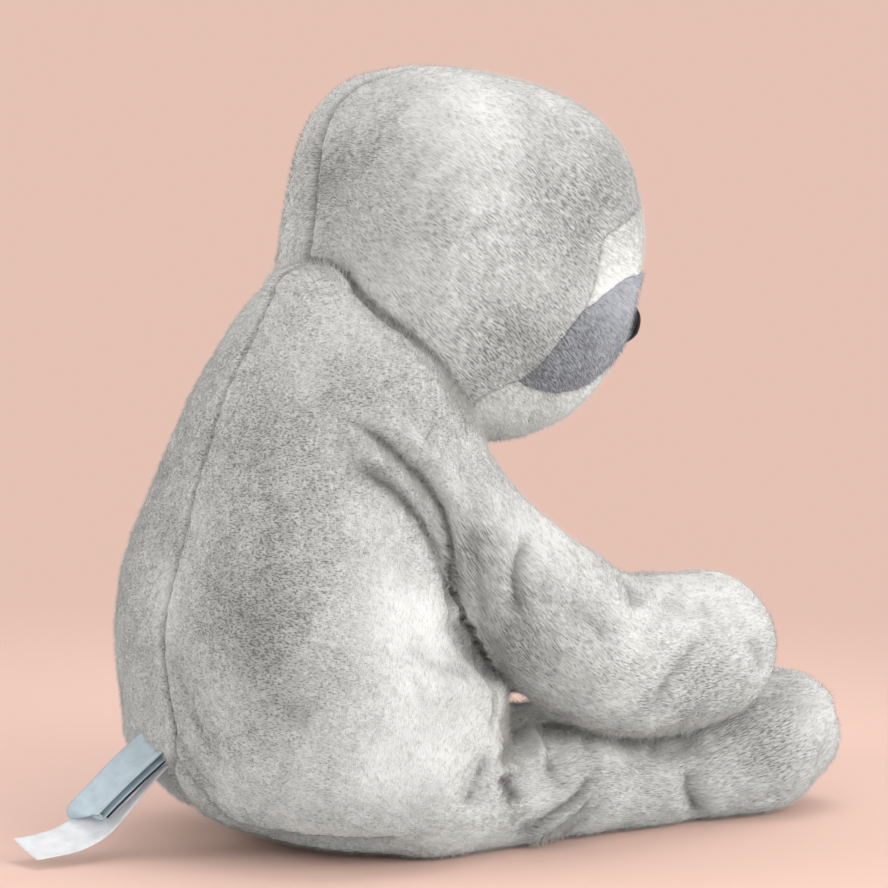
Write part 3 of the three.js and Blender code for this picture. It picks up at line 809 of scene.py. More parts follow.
def add_lumps(skin, seed):
    """The uneven filling under the fabric, and cloudy lighter and darker patches painted into its colour as
    the sheen of the pile's lie.
    """
    at = skin.points
    skin.swell(1.1 * noise(at, 42, seed) + 0.5 * noise(at, 17, seed + 1))
    # painted sheen: cloudy patches lighter and darker with the way the pile lies
    brushed = noise(at, 30, seed + 2) + 0.6 * noise(at, 13, seed + 3)
    skin.tint *= 1 + 0.07 * brushed


def add_pile(skin, nap, seed, length=4.2, breadth=2.6, height=0.28):
    """Small tufts that lie along the pile."""
    along, angle, radius = nap(skin.rest)
    flat = np.stack([along / length, angle * radius / breadth, np.zeros(len(along))], 1)
    tufts = noise(flat, 1.0, seed) + 0.6 * noise(flat, 0.55, seed + 1)
    skin.swell(height * tufts * (0.5 + 1.6 * skin.ruffle))
    # painted light and shade of the tufts: raised ones a little lighter
    skin.tint *= 1 + 0.04 * tufts


RESTING = {"arm": "leg", "leg": "arm"}  # the hand only lies on the leg, so neither grows into the other


def into_body(skin, own):
    """Fills the hollows where the torso, arms and legs run into each other, up to their common surface."""
    reach, most = 40, 15
    start = skin.points
    fields, _ = body_fields(start)
    other = np.minimum.reduce([fields[k] for k in fields if k != own])
    near = np.flatnonzero(other < reach)
    ways = skin.normals[near]
    moved = np.zeros(len(near))
    for _ in range(4):
        here, whole = body_fields(start[near] + moved[:, None] * ways)
        moved = np.clip(moved - whole, 0, most)
    beside = np.minimum.reduce([here[k] for k in here if k != own])
    moved *= ease(other[near], -18, -9) * ease(whole, -3, -1)  # what can't come out stays where it was
    if own in RESTING:
        moved *= ease(fields[RESTING[own]][near], -2.5, 0.5)
    moved -= 0.9 * ease(here[own] - beside, 0, 5)
    skin.points = start.copy()
    skin.points[near] += moved[:, None] * ways


def press_out(skin, field):
    """Moves what lies inside a neighbour out to its surface, evens it out and moves it out again."""
    for last in (False, True):
        depth, way = field(skin.points)
        skin.points += np.maximum(GAP - depth, 0)[:, None] * way
        if not last:
            skin.relax(np.flatnonzero(depth < GAP))


def press_in(skin, field, towards, gap, shade=5.0):
    """Moves what lies inside a neighbour towards a point of the skin's own inside, up to its surface,
    evens out the dent and paints shade on the skin this near to it."""
    depth = field(skin.points)[0]
    gap = np.broadcast_to(gap, depth.shape)
    at = np.flatnonzero(depth < gap)
    start, way = skin.points[at], towards - skin.points[at]
    low, high = np.zeros(len(at)), np.ones(len(at))
    for _ in range(12):
        middle = (low + high) / 2
        outside = field(start + middle[:, None] * way)[0] > gap[at]
        high, low = np.where(outside, middle, high), np.where(outside, low, middle)
    skin.points[at] = start + high[:, None] * way
    skin.relax(at)
    # painted shade where the neighbour lies close
    skin.tint *= 1 - 0.5 * (1 - ease(depth - gap, 0, shade))


def press_arms(skin, towards, gap):
    """Presses the arms into a skin of the torso, below the shoulders."""
    above = 30 * ease(skin.points[:, 2], 138, 165)
    for sign in SIDES.values():
        press_in(skin, lambda p: limb_field(p, ARM, sign, ARM_WIDTH)[:2], towards, gap - above, 8.0)


def sit_on_floor(skin):
    """Flattens what would go through the floor, with a soft edge."""
    low, soft = 0.3, 3.0
    z = skin.points[:, 2]
    near = np.clip(soft - np.abs(z - low), 0, None) / soft
    skin.points[:, 2] = np.maximum(np.maximum(z, low) + near ** 2 * soft / 4, low)


# Torso

profile_arc = arc_of(np.stack([torso_levels[:, 0], torso_levels[:, 1:3].mean(1)], 1))


def torso_nap(points):
    forward, wide, deep, behind, _ = torso_at(points[:, 2])
    x, f = points[:, 0], -points[:, 1] - forward
    down = -np.interp(points[:, 2], torso_levels[:, 0], profile_arc)
    inner = 1 - np.clip(np.sqrt((x / TORSO[0, 1]) ** 2 + (f / TORSO[0, 2]) ** 2), 0, 1)
    down += np.where(points[:, 2] < 0.6, 40 * inner, 0)
    return down, np.arctan2(-f, np.abs(x)), (wide + deep + behind) / 3


def torso_back(out=0.0):
    """How far forward the torso's back is at the cross seam, this far out from the middle."""
    forward, wide, _, behind, full = (v[0] for v in torso_at(np.array([SEAT_SEAM_BACK])))
    return forward - behind * (1 - (out / wide) ** full) ** (1 / full)


def seat_seam(p):
    """Height above the seat seam, which drops to both sides of the label and runs on low round the front."""
    level = np.interp(-p[:, 1], [torso_back(), SEAT_SEAM_FOLD], [SEAT_SEAM_BACK, SEAT_SEAM_FRONT])
    drop = 26 * (1 - np.exp(-(np.abs(p[:, 0]) / 24) ** 1.3)) * ease(level, SEAT_SEAM_FRONT, 32)
    return p[:, 2] - np.maximum(level - drop, 9)


def make_torso():
    """The torso's four panels."""
    points, faces = torso_surface(SPACING)
    skin = Skin(points, faces, [lambda p: p[:, 0], lambda p: -p[:, 1] - BELLY_SEAM, seat_seam])
    rest = skin.rest
    skin.rows[:] = 1
    into_body(skin, "torso")
    skin.refresh()
    add_lumps(skin, 3)
    add_folds(skin, TORSO_FOLDS)
    behind = 1 - ease(-rest[:, 1], 8, 16)
    above = ease(seat_seam(rest), -1, 1)
    add_seam(skin, rest[:, 0], behind * above, depth=1.7, width=1.5)
    add_seam(skin, -rest[:, 1] - BELLY_SEAM, above * (1 - ease(rest[:, 2], 150, 175)))
    add_seam(skin, seat_seam(rest), 1.0, depth=2.4, width=2.6)
    press_arms(skin, core_of("torso"), 0.8)
    press_in(skin, below_head, core_of("torso"), 0, 3.0)
    skin.refresh()
    add_pile(skin, torso_nap, 5, length=2.9, breadth=3.4, height=0.3)
    sit_on_floor(skin)
    skin.refresh()
    seat = lambda p: seat_seam(p) < 0
    belly = lambda p: ~seat(p) & (-p[:, 1] > BELLY_SEAM)
    back = lambda p: ~seat(p) & ~belly(p)
    return {
        "seat_panel": panel(skin, "seat_panel_fur", seat, torso_nap),
        "torso_belly": panel(skin, "torso_belly_fur", belly, torso_nap),
        "torso_back_left": panel(skin, "torso_back_left_fur", lambda p: back(p) & (p[:, 0] > 0), torso_nap),
        "torso_back_right": panel(skin, "torso_back_right_fur", lambda p: back(p) & (p[:, 0] < 0), torso_nap)}


# Head

HEAD_NAP = pitched(40)  # the way the head's pile lies: forward and down
DEGREE = math.pi / 180 * 80  # millimetres on the head for each degree, about

# The white face's edge: turn from the brow towards the ear, and how far from the line of sight, in degrees
FACE_EDGE = np.array([
    (0, 46), (20, 47), (38, 51), (51, 57), (64, 66), (73, 74), (80, 71), (94, 69), (105, 73),
    (118, 77), (125, 80), (130, 86), (134, 91), (138, 92), (143, 90), (155, 86), (180, 84)], float)
# The right eye patch in degrees from the line of sight: outwards and up
PATCH = np.array([
    (42, 14), (50, 12), (57, 8), (61, 4), (65, -1), (69, -8), (77, -10), (80, -22), (79, -35),
    (74, -46), (66, -50), (57, -45), (48, -35), (38, -19), (32, -11), (26, -6), (19, -3), (12, 1), (10, 7),
    (14, 13), (23, 17), (33, 17)], float)


def head_nap(points):
    """A flat map of each side of the head about its ear, with the pile's way as its first axis."""
    units = head_units(points)
    polar = np.arccos(np.clip(np.abs(units[:, 0]), 0, 1))
    reach = 80 * polar / np.maximum(np.sin(polar), 1e-6)
    return units @ HEAD_NAP * reach, units @ np.cross(HEAD_NAP, side_way) * reach / 80, 80.0


def face_angles(points):
    """Degrees from the line of sight and turn from the brow, the same on both sides."""
    units = head_units(points)
    off = np.degrees(np.arccos(np.clip(units @ sight, -1, 1)))
    turn = np.degrees(np.arctan2(np.abs(units[:, 0]), units @ brow_way))
    return off, turn


face_turns = np.arange(0, 181, 3.0)
face_edges = np.interp(face_turns, FACE_EDGE[:, 0], FACE_EDGE[:, 1])
face_edges[1:-1] = (face_edges[:-2] + 2 * face_edges[1:-1] + face_edges[2:]) / 4


def face_inside(points):
    off, turn = face_angles(points)
    return (np.interp(turn, face_turns, face_edges) - off) * DEGREE


def patch_inside(points):
    off, turn = face_angles(points)
    flat = np.stack([off * np.sin(np.radians(turn)), off * np.cos(np.radians(turn))], 1)
    ring = spline(np.vstack([PATCH, PATCH[:1]]), np.linspace(0, 1, 5 * len(PATCH)))[:-1]
    return np.minimum(within(flat, ring) * DEGREE, face_inside(points))


def hood_side(points):
    """Distance from the hood's centre seam, which wanders to the left behind the crown."""
    behind = -(points - HEAD_CENTRE) @ head_axis
    up = (points - HEAD_CENTRE) @ crown_way
    return points[:, 0] - ease(behind, 44, 67) * (14.5 + 8 * ease(up, -5, 48))


def make_head():
    """The hood's two halves, the face and the eye patches."""
    points, faces = head_surface(SPACING)
    skin = Skin(points, faces, [hood_side, face_inside, patch_inside])
    rest = skin.rest
    inside, patch = face_inside(rest), patch_inside(rest)
    add_lumps(skin, 21)
    add_brushing(skin, in_near_photo(rest))
    crease = np.exp(-((below_head(rest)[0] + 1) / 1.3) ** 2) * ease((rest - HEAD_CENTRE) @ NECK_WAY, 30, 50)
    # painted shade along the crease where the head meets the body
    skin.tint *= 1 - 0.5 * crease
    skin.shag = np.maximum(skin.shag, ease(crease, 0.1, 0.6))
    on_hood = 1 - ease(inside, -1, 1)
    add_seam(skin, hood_side(rest), on_hood, depth=2.2, width=2.2, puff=0.9)
    add_seam(skin, inside, 1 - ease(patch, -3, 0), depth=0.3, width=1.0, puff=0.1)
    skin.refresh()
    add_pile(skin, head_nap, 25)
    skin.refresh()
    pieces = {"face_panel": panel(skin, "face_panel_fur", lambda p: face_inside(p) > 0, head_nap)}
    for side in ("left", "right"):
        pieces[f"head_side_{side}"] = panel(
            skin, f"head_side_{side}_fur",
            lambda p: (face_inside(p) <= 0) & (hood_side(p) * SIDES[side] > 0), head_nap)
    for side in SIDES:
        pieces[f"eye_patch_{side}"] = panel(
            skin, f"eye_patch_{side}_fur", lambda p: (patch_inside(p) > 0) & (p[:, 0] * SIDES[side] > 0),
            head_nap, hem=1.5, lift=lambda p: 0.5 + 0.9 * ease(patch_inside(p), 0, 3))
    return pieces


# Arms and legs

def limb_nap(stations, sign):
    """The map of a limb's pile, which lies along the limb."""
    line, _ = limb_line(stations, sign)
    ways = ways_along(line)
    arc = arc_of(line)

    def nap(points):
        _, _, share = limb_field(points, stations, sign)
        at = share * (len(line) - 1)
        i = np.clip(at.astype(int), 0, len(line) - 1)
        way = ways[i]
        away = points - line[i]
        along = arc[i] + np.einsum("ij,ij->i", away, way)
        out, rise = (np.einsum("ij,ij->i", away, round_way) for round_way in ways_round(way))
        return along, np.arctan2(out, -rise), LIMB_ROUND
    return nap


def make_arm(side):
    """An arm's outer and inner panel, parted by an upright seam plane."""
    sign = SIDES[side]
    across = place(0, sign * 140, 0) + place(14, 0, 0)
    across /= np.linalg.norm(across)
    through = place(188, sign * 58, 82)
    points, faces = limb_surface(ARM, sign, ARM_WIDTH, ARM_END, SPACING)
    skin = Skin(points, faces, [lambda p: (p - through) @ across],
                keep=lambda p: (torso_field(p)[0] > -9) | (p[:, 2] < ARMPIT))
    rest = skin.rest
    skin.rows = ease(rest[:, 2], 145, 180)
    into_body(skin, "arm")
    skin.refresh()
    add_lumps(skin, 3)
    add_folds(skin)
    add_seam(skin, (rest - through) @ across, 1 - ease(rest[:, 2], 130, 160), depth=1.0, width=1.5, puff=0.3)
    skin.refresh()
    nap = limb_nap(ARM, sign)
    add_pile(skin, nap, 45 + sign)
    press_out(skin, lambda p: limb_field(p, LEG, sign, LEG_WIDTH)[:2])
    press_in(skin, below_head, core_of("arm", sign), 0, 3.0)
    skin.refresh()
    return {
        f"arm_{side}_outer": panel(skin, f"arm_{side}_outer_fur", lambda p: (p - through) @ across > 0, nap),
        f"arm_{side}_inner": panel(skin, f"arm_{side}_inner_fur", lambda p: (p - through) @ across < 0, nap)}


def make_leg(side):
    """A leg's outer and inner panel, parted by an upright seam plane."""
    sign = SIDES[side]
    points, faces = limb_surface(LEG, sign, LEG_WIDTH, LEG_END, SPACING)
    skin = Skin(points, faces, [lambda p: p[:, 0] - sign * LEG_SEAM], keep=lambda p: torso_field(p)[0] > -9)
    rest = skin.rest
    into_body(skin, "leg")
    skin.refresh()
    add_lumps(skin, 3)
    add_folds(skin)
    add_seam(skin, rest[:, 0] - sign * LEG_SEAM, 1.0, depth=1.0, width=1.5, puff=0.3)
    skin.refresh()
    nap = limb_nap(LEG, sign)
    add_pile(skin, nap, 65 + sign)
    sit_on_floor(skin)
    skin.refresh()
    outside = lambda p: (p[:, 0] - sign * LEG_SEAM) * sign > 0
    return {
        f"leg_{side}_outer": panel(skin, f"leg_{side}_outer_fur", outside, nap),
        f"leg_{side}_inner": panel(skin, f"leg_{side}_inner_fur", lambda p: ~outside(p), nap)}


# Filling, nose, eyes, stitches and labels

def make_filling(name, surface, own=None, sign=1):
    """The fibre filling: a lumpy form a little inside the skin."""
    inset, under_skin, off_floor = 6.5, 5.0, 4.0
    points, faces = surface
    skin = Skin(points, faces)
    if own is not None:
        into_body(skin, own)
        skin.refresh()
    at = skin.points
    skin.swell(-inset + 1.3 * noise(at, 15, 91) + 0.7 * noise(at, 7, 92))
    if own is not None:
        core = core_of(own, sign)
        if own == "torso":
            press_arms(skin, core, under_skin)
        press_in(skin, below_head, core, under_skin)
        press_in(skin, lambda p: (p[:, 2] - off_floor, None), core, 0)
    skin.refresh()
    faces = [list(p.vertices) for p in skin.mesh.polygons]
    return new_object(name, skin.points, faces)


def make_nose():
    """A small padded cushion of black cloth, broad at the top, with a seam round it."""
    units, faces = ball_surface(28)
    a, b, c = units.T
    narrow = 1 - 0.16 * np.clip(-c, 0, 1) + 0.05 * c
    out = 13.0 * np.sign(b) * np.abs(b) ** 0.9 * narrow
    rise = 9.6 * np.sign(c) * np.abs(c) ** 0.92
    depth = 6.2 * a - 0.22 * rise
    rim = np.exp(-(a / 0.16) ** 2)
    lumps = noise(units, 0.4, 7) * 0.25 + noise(units, 0.17, 8) * 0.12
    grown = 1 - 0.07 * rim + 0.02 * lumps
    centre = HEAD_CENTRE + (13.5 - MUZZLE_DROP) * brow_way + (MUZZLE[2] - 1.8) * sight
    points = (centre + (out * grown)[:, None] * side_way + (rise * grown)[:, None] * brow_way
              + (depth * grown + lumps)[:, None] * sight)
    return new_object("nose_cushion", points, faces)


def make_eye(side, face_tree):
    """A polished bead in a narrow collar, set into the patch."""
    sign = SIDES[side]
    start = HEAD_CENTRE + sign * 24 * side_way + 8 * brow_way + 200 * sight
    hit, normal, _, _ = face_tree.ray_cast(Vector(start * MM), Vector(-sight))
    centre = np.array(hit) / MM
    up = np.array(normal)
    one = np.cross(up, [0, 0, 1.0])
    one /= np.linalg.norm(one)
    other = np.cross(up, one)
    profile = [(5.9, -1.2), (6.0, 0.9), (5.8, 1.35), (5.4, 1.5), (5.05, 1.3), (4.95, 1.1)]
    profile += [(5.0 * math.cos(a), 1.1 + 3.1 * math.sin(a)) for a in np.linspace(0.12, 1.5, 14)]
    angle = np.linspace(0, 2 * math.pi, 40, endpoint=False)
    rings = np.array([centre + h * up + r * (np.cos(angle)[:, None] * one + np.sin(angle)[:, None] * other)
                      for r, h in profile])
    points, faces = closed_form(rings, centre - 1.2 * up, centre + 4.2 * up)
    return new_object(f"eye_{side}_bead", points, faces)


def make_stitches(tree):
    """Short dark stitches in the centre seam of the back."""
    low, high, pitch = 56, 252, 5.2
    reach, thick, rings, around = 1.25, 0.34, 7, 8
    points, faces = [], []
    for number, height in enumerate(np.arange(low, high, pitch)):
        hit, normal, _, _ = tree.ray_cast(Vector(place(-200, 0, height) * MM), Vector((0, -1, 0)))
        if hit is None:
            continue
        centre, up = np.array(hit) / MM, np.array(normal)
        lean = 0.35 * math.sin(3.7 * number)
        way = side_way * math.cos(lean) + np.cross(up, side_way) * math.sin(lean)
        turn = np.cross(up, way)
        index, quads = tube(rings, around, len(points))
        for s in np.linspace(-1, 1, rings):
            radius = thick * math.sqrt(max(1 - (0.93 * s) ** 2, 0.05))
            middle = centre + reach * s * way + (0.75 - 0.7 * s * s) * up
            points += [middle + radius * (math.cos(a) * up + math.sin(a) * turn)
                       for a in np.linspace(0, 2 * math.pi, around, endpoint=False)]
        faces += quads + [index[0, ::-1].tolist(), index[-1].tolist()]
    return new_object("back_seam_stitches", points, faces)


def ribbon(path, width, centre_out, thick, wave, steps=16):
    """A closed strip along a path of (forward, height) points, in millimetres. wave(s, t) says how it
    leaves the level at a length along it and a share of its width."""
    ways = ways_along(path)
    normals = np.stack([-ways[:, 1], ways[:, 0]], 1)
    arc = arc_of(path)
    across = np.linspace(-0.5, 0.5, steps + 1)
    ring = [(0.5, t) for t in across] + [(-0.5, t) for t in across[::-1]]
    points = []
    for (f, z), (nf, nz), s in zip(path, normals, arc):
        for face, t in ring:
            more_out, more_rise = wave(s, t)
            out, rise = centre_out + t * width + more_out, face * thick + more_rise
            points.append(place(f + nf * rise, out, z + nz * rise))
    index, faces = tube(len(path), len(ring))
    for end, turn in ((index[0].tolist(), -1), (index[-1].tolist(), 1)):
        faces += [[end[k], end[k + 1], end[-2 - k], end[-1 - k]][::turn] for k in range(steps)]
    return points, faces


def path_from(start, dips, length, steps=40):
    """A path in side view that leaves a point backwards, with its dip below the level along it."""
    at = np.array(start, float)
    path = [at]
    for dip in np.interp(np.linspace(0, 1, steps), np.linspace(0, 1, len(dips)), dips):
        at = at + length / steps * np.array([-math.cos(math.radians(dip)), -math.sin(math.radians(dip))])
        path.append(at)
    return np.array(path)


LABEL_OUT = 21.0  # how far the labels' middle lies to the left
SATIN = 22.0  # the ribbons' width
BRAND_DIPS = (36, 35, 37, 40)  # degrees below the level, along each ribbon
CARE_DIPS = (36, 38, 43, 46, 24, 6, 2)
CARE_LENGTH = 86.0


def curl(s, t):
    """How the folded label rolls, s along it and t across it: (further out, further up)."""
    return 0.0, -6.6 * t - 0.5 * math.sin(s / 9) * (t + 0.5) - 0.6 * (2 * t) ** 2


def care_curl(s, t):
    return 0.0, -6.6 * t + 0.5 * math.sin(s / 14 + 2) * 2 * t - 0.5 * (2 * t) ** 2 * (s / CARE_LENGTH)


def leaf_curl(least, swing, pace, turn, lift):
    """How an inner leaf rolls, whose edge to the right is wavy."""
    def wave(s, t):
        out = -(least + swing * math.sin(s / pace + turn)) if t < -0.49 else 0.0
        return out, lift * math.sin(s / pace) * max(0.0, -2 * t) + curl(s, t)[1]
    return wave


def make_labels():
    """The brand label, a folded strip with two inner leaves, and the care label below it."""
    length, drop = 50, 1.9
    root = np.array([torso_back(LABEL_OUT), SEAT_SEAM_BACK])
    dip = math.radians(BRAND_DIPS[0])
    inward = root + 10 * np.array([math.cos(dip), math.sin(dip)])
    below = np.array([math.sin(dip), -math.cos(dip)])
    upper = path_from(inward, BRAND_DIPS, length)
    end = upper[-1]
    tip_way = (end - upper[-2]) / np.linalg.norm(end - upper[-2])
    tip_below = np.array([-tip_way[1], tip_way[0]])
    bend = [end + tip_below * drop / 2 * (1 - math.cos(a)) + tip_way * drop / 2 * math.sin(a)
            for a in np.linspace(0, math.pi, 9)[1:]]
    lower = path_from(inward + drop * below, BRAND_DIPS, length)[::-1]
    leaf_dips = (36, 36, 38, 40)
    layers = [
        (np.vstack([upper, bend, lower[1:]]), SATIN, 0.32, curl),
        (path_from(inward + 0.65 * below, BRAND_DIPS, 47), 21.6, 0.3, leaf_curl(0.75, 0.7, 2.9, 0, -0.35)),
        (path_from(inward + 1.25 * below, leaf_dips, 46), 21.0, 0.25, leaf_curl(0.3, 0.5, 4.3, 1, 0.3))]
    points, faces, slots = [], [], []
    for slot, (path, width, thick, wave) in enumerate(layers):
        p, f = ribbon(path, width, LABEL_OUT, thick, wave)
        faces += [[v + len(points) for v in face] for face in f]
        slots += [slot] * len(f)
        points += p
    brand = new_object("brand_label_satin", points, faces)
    brand.data.polygons.foreach_set("material_index", slots)
    care_path = path_from(inward + 3.2 * below, CARE_DIPS, CARE_LENGTH)
    care = new_object("care_label_ribbon", *ribbon(care_path, SATIN, LABEL_OUT, 0.3, care_curl))
    return brand, care


# Materials

FLAT = 1000  # the size along an axis that a flat map doesn't have


def shaded(share, colour):
    return tuple(share * c for c in colour)


class Graph:
    """A tree of shader nodes, with a short call for each kind."""

    def __init__(self, tree):
        self.nodes = tree.nodes
        self.link = tree.links.new

    def node(self, kind, feeds=(), **settings):
        """A new node. feeds gives its inputs, each a plain value or another node's output."""
        made = self.nodes.new("ShaderNode" + kind)
        for name, value in settings.items():
            setattr(made, name, value)
        for socket, value in dict(feeds).items():
            if isinstance(value, bpy.types.NodeSocket):
                self.link(value, made.inputs[socket])
            else:
                made.inputs[socket].default_value = value
        return made

    def math(self, operation, a, b):
        return self.node("Math", {0: a, 1: b}, operation=operation).outputs[0]

    def backdrop_share(self):
        """1 for camera, glossy and transmission rays, which see the plain backdrop, and 0 for light."""
        path = self.node("LightPath").outputs
        total = path["Is Camera Ray"]
        for ray in ("Is Glossy Ray", "Is Transmission Ray"):
            total = self.math("MAXIMUM", total, path[ray])
        return total

    def mixed(self, share, first, second):
        return self.node("MixShader", {"Fac": share, 1: first.outputs[0], 2: second.outputs[0]}).outputs[0]


class Material(Graph):
    def __init__(self, name, rough=0.9, specular=0.2):
        self.made = bpy.data.materials.new(name)
        self.made.use_nodes = True
        super().__init__(self.made.node_tree)
        self.shader = self.nodes["Principled BSDF"]
        self.set(Roughness=rough, Specular_IOR_Level=specular)

    def set(self, **values):
        """Sets plain values on the shader's own sockets."""
        for name, value in values.items():
            self.shader.inputs[name.replace("_", " ")].default_value = value

    def where(self):
        return self.node("TexCoord").outputs["Object"]

    def drawn(self):
        """What a skin carries in its vertex colours: red its painted light and shade, green its level rows,
        blue its ruffle.
        """
        tint = self.node("VertexColor", layer_name="tint")
        return self.node("SeparateColor", {"Color": tint.outputs["Color"]}).outputs

    def noise(self, vector, size, detail=2.0, distortion=0.3):
        """Noise with features of this size in millimetres along each axis."""
        scale = tuple(1000 / s for s in np.broadcast_to(size, 3).tolist())
        stretched = self.node("Mapping", {"Vector": vector, "Scale": scale}).outputs["Vector"]
        feeds = {"Vector": stretched, "Scale": 1.0, "Detail": detail, "Distortion": distortion}
        return self.node("TexNoise", feeds).outputs["Fac"]

    def ramp(self, value, stops):
        made = self.node("ValToRGB", {"Fac": value})
        elements = made.color_ramp.elements
        while len(elements) < len(stops):
            elements.new(0.5)
        for element, (at, colour) in zip(elements, stops):
            element.position = at
            element.color = tuple(min(c, 1.0) for c in colour) + (1,)
        return made.outputs["Color"]

    def spread(self, value, low, high, source=(0, 1)):
        """A value between the source's limits moved to between low and high."""
        feeds = {"Value": value, "From Min": source[0], "From Max": source[1], "To Min": low, "To Max": high}
        return self.node("MapRange", feeds).outputs["Result"]

    def paint(self, colour, shade=None):
        """Gives the shader its colour, times a shade."""
        if shade is not None:
            colour = self.node("VectorMath", {0: colour, "Scale": shade}, operation="SCALE").outputs["Vector"]
        self.link(colour, self.shader.inputs["Base Color"])

    def bump(self, height, strength, distance):
        made = self.node("Bump", {"Height": height, "Strength": strength, "Distance": distance * MM})
        self.link(made.outputs["Normal"], self.shader.inputs["Normal"])


def fur_material(name, colour, contrast=1.0):
    """Short plush: pile in level rows or in streaks along its lie, with painted shade in the gaps, brushed
    and ruffled.
    """
    m = Material(name)
    m.set(Sheen_Weight=0.35, Sheen_Roughness=0.4)
    uv, where, drawn = m.node("UVMap", uv_map="nap").outputs["UV"], m.where(), m.drawn()
    rows = m.noise(where, (1.6, 1.6, 0.66), 1.5, 0.3)
    streaks = m.noise(uv, (3.2, 0.7, FLAT), 1.5, 0.35)
    lie = m.node("Mix", {0: drawn["Green"], 2: streaks, 3: rows}).outputs[0]
    cloudy, middle = m.noise(where, (30, 30, 24), 2.0, 0.5), (0.34, 0.66)
    strength = m.spread(cloudy, 0.8 * contrast, 1.3 * contrast, middle)
    ruffled = m.spread(m.math("POWER", drawn["Blue"], 1.7), 0.08, 3.9)
    deep = m.math("MULTIPLY", m.math("SUBTRACT", lie, 0.5), m.math("MULTIPLY", strength, ruffled))
    fibres = m.spread(m.noise(uv, (2.4, 0.4, FLAT)), 0.4, 0.6, (0.3, 0.7))
    relief = m.math("ADD", deep, fibres)
    # the pile's relief painted as shade in the gaps between tufts and as light on their tops
    shades = [(0.16, 0.46), (0.36, 0.82), (0.52, 1.0), (0.8, 1.14)]
    pile = m.ramp(relief, [(at, shaded(share, colour)) for at, share in shades])
    # painted sheen: cloudy lighter and darker patches, times the skin's painted light and shade
    shade = m.math("MULTIPLY", m.spread(cloudy, 1.05, 0.95, middle), drawn["Red"])
    m.paint(pile, m.math("MULTIPLY", shade, PAINTED_SHADING_RANGE))
    m.bump(relief, 0.8, 0.8)
    return m.made


def pile_material(name, colour):
    """The single tufts of the pile: painted shade at the root, and as bright as the fabric at the tip."""
    m = Material(name, 0.8, 0.15)
    hair = m.node("HairInfo").outputs
    # painted shade at the root of each tuft
    along = m.ramp(hair["Intercept"], [(0.0, shaded(0.72, colour)), (0.6, shaded(1.06, colour))])
    m.paint(along, m.math("MULTIPLY", m.spread(hair["Random"], 1.02, 1.24), m.drawn()["Red"]))
    return m.made


def cloth_material(name, colour, thread, rough, sheen, weave=0.5, gloss=0.2):
    """A woven cloth or satin: crossed threads, slight colour variation and faint creases."""
    m = Material(name, rough, gloss)
    m.set(Sheen_Weight=sheen)
    where = m.where()
    feeds = {"Vector": where, "Scale": 0.314 / (thread * MM), "Distortion": 0.6, "Detail": 1.0}
    threads = [m.node("TexWave", feeds, bands_direction=way).outputs["Fac"] for way in "XY"]
    woven = m.math("MULTIPLY", *threads)
    cloudy = m.noise(where, 6.25, 3.0)
    tone = m.ramp(woven, [(0.0, shaded(1 - 0.5 * weave, colour)), (0.8, colour)])
    m.paint(tone, m.spread(cloudy, 0.9, 1.08, (0.3, 0.7)))
    m.bump(m.math("ADD", woven, cloudy), 0.5, 0.2)
    return m.made


def fibre_material(name, colour):
    """Loose fibre filling."""
    m = Material(name, 0.95, 0.1)
    wisps = m.noise(m.where(), 2, 4.0, 2.0)
    m.paint(m.ramp(wisps, [(0.3, shaded(0.78, colour)), (0.65, colour)]))
    m.bump(wisps, 1.0, 1.0)
    return m.made


def bead_material(name, colour):
    """Polished plastic with faint scratches and dust."""
    m = Material(name, 0.12, 0.5)
    m.set(Coat_Weight=0.6, Coat_Roughness=0.05)
    dust = m.noise(m.where(), 10 / 9, 4.0)
    m.paint(m.ramp(dust, [(0.45, colour), (0.75, tuple(c + 0.03 for c in colour))]))
    m.link(m.spread(dust, 0.08, 0.28, (0.4, 0.8)), m.shader.inputs["Roughness"])
    return m.made


def add_tufts(piece, material, per_mm2, lie, rise, stray, seed, group="pile"):
    """Single tufts over a panel: lie is their length along the pile and rise off the fabric."""
    share = 1.0 if group == "pile" else piece[group]
    count = int(piece["area"] * 1e6 * per_mm2 * share)
    if count < 50:
        return
    if material.name not in piece.data.materials:
        piece.data.materials.append(material)
    piece.modifiers.new(group, "PARTICLE_SYSTEM")
    system = piece.particle_systems[-1]
    system.seed = seed
    system.vertex_group_density = group
    made = system.settings
    made.type = "HAIR"
    made.count = count
    made.hair_step = 3
    made.use_advanced_hair = True
    thick = 0.12
    reach = 4.0  # a hair is four times as long as its factors say
    made.normal_factor = rise * MM / reach
    made.tangent_factor = lie * MM / reach
    made.tangent_phase = 0.5
    made.factor_random = stray * MM / reach
    made.brownian_factor = 0.0
    made.radius_scale = 1.0
    made.root_radius = thick * MM
    made.tip_radius = 0.25 * thick * MM
    made.material = 1 + list(piece.data.materials).index(material)


# Light, floor and backdrop

PEACH = (0.783, 0.539, 0.456)


def add_lamp(name, place_m, size, watts):
    data = bpy.data.lights.new(name, "AREA")
    data.shape = "DISK"
    data.size = size
    data.energy = watts
    lamp = bpy.data.objects.new(name, data)
    lamp.location = place_m
    aim = Vector(CAMERA_TARGET) - Vector(place_m)
    lamp.rotation_euler = aim.to_track_quat("-Z", "Y").to_euler()
    bpy.context.collection.objects.link(lamp)


def add_world():
    world = bpy.data.worlds.new("studio")
    world.use_nodes = True
    world.node_tree.nodes.clear()
    graph = Graph(world.node_tree)
    light = graph.node("Background", {"Color": (0.985, 0.99, 1.0, 1), "Strength": 0.8})
    seen = graph.node("Background", {"Color": (*PEACH, 1)})
    graph.node("OutputWorld", {"Surface": graph.mixed(graph.backdrop_share(), light, seen)})
    bpy.context.scene.world = world


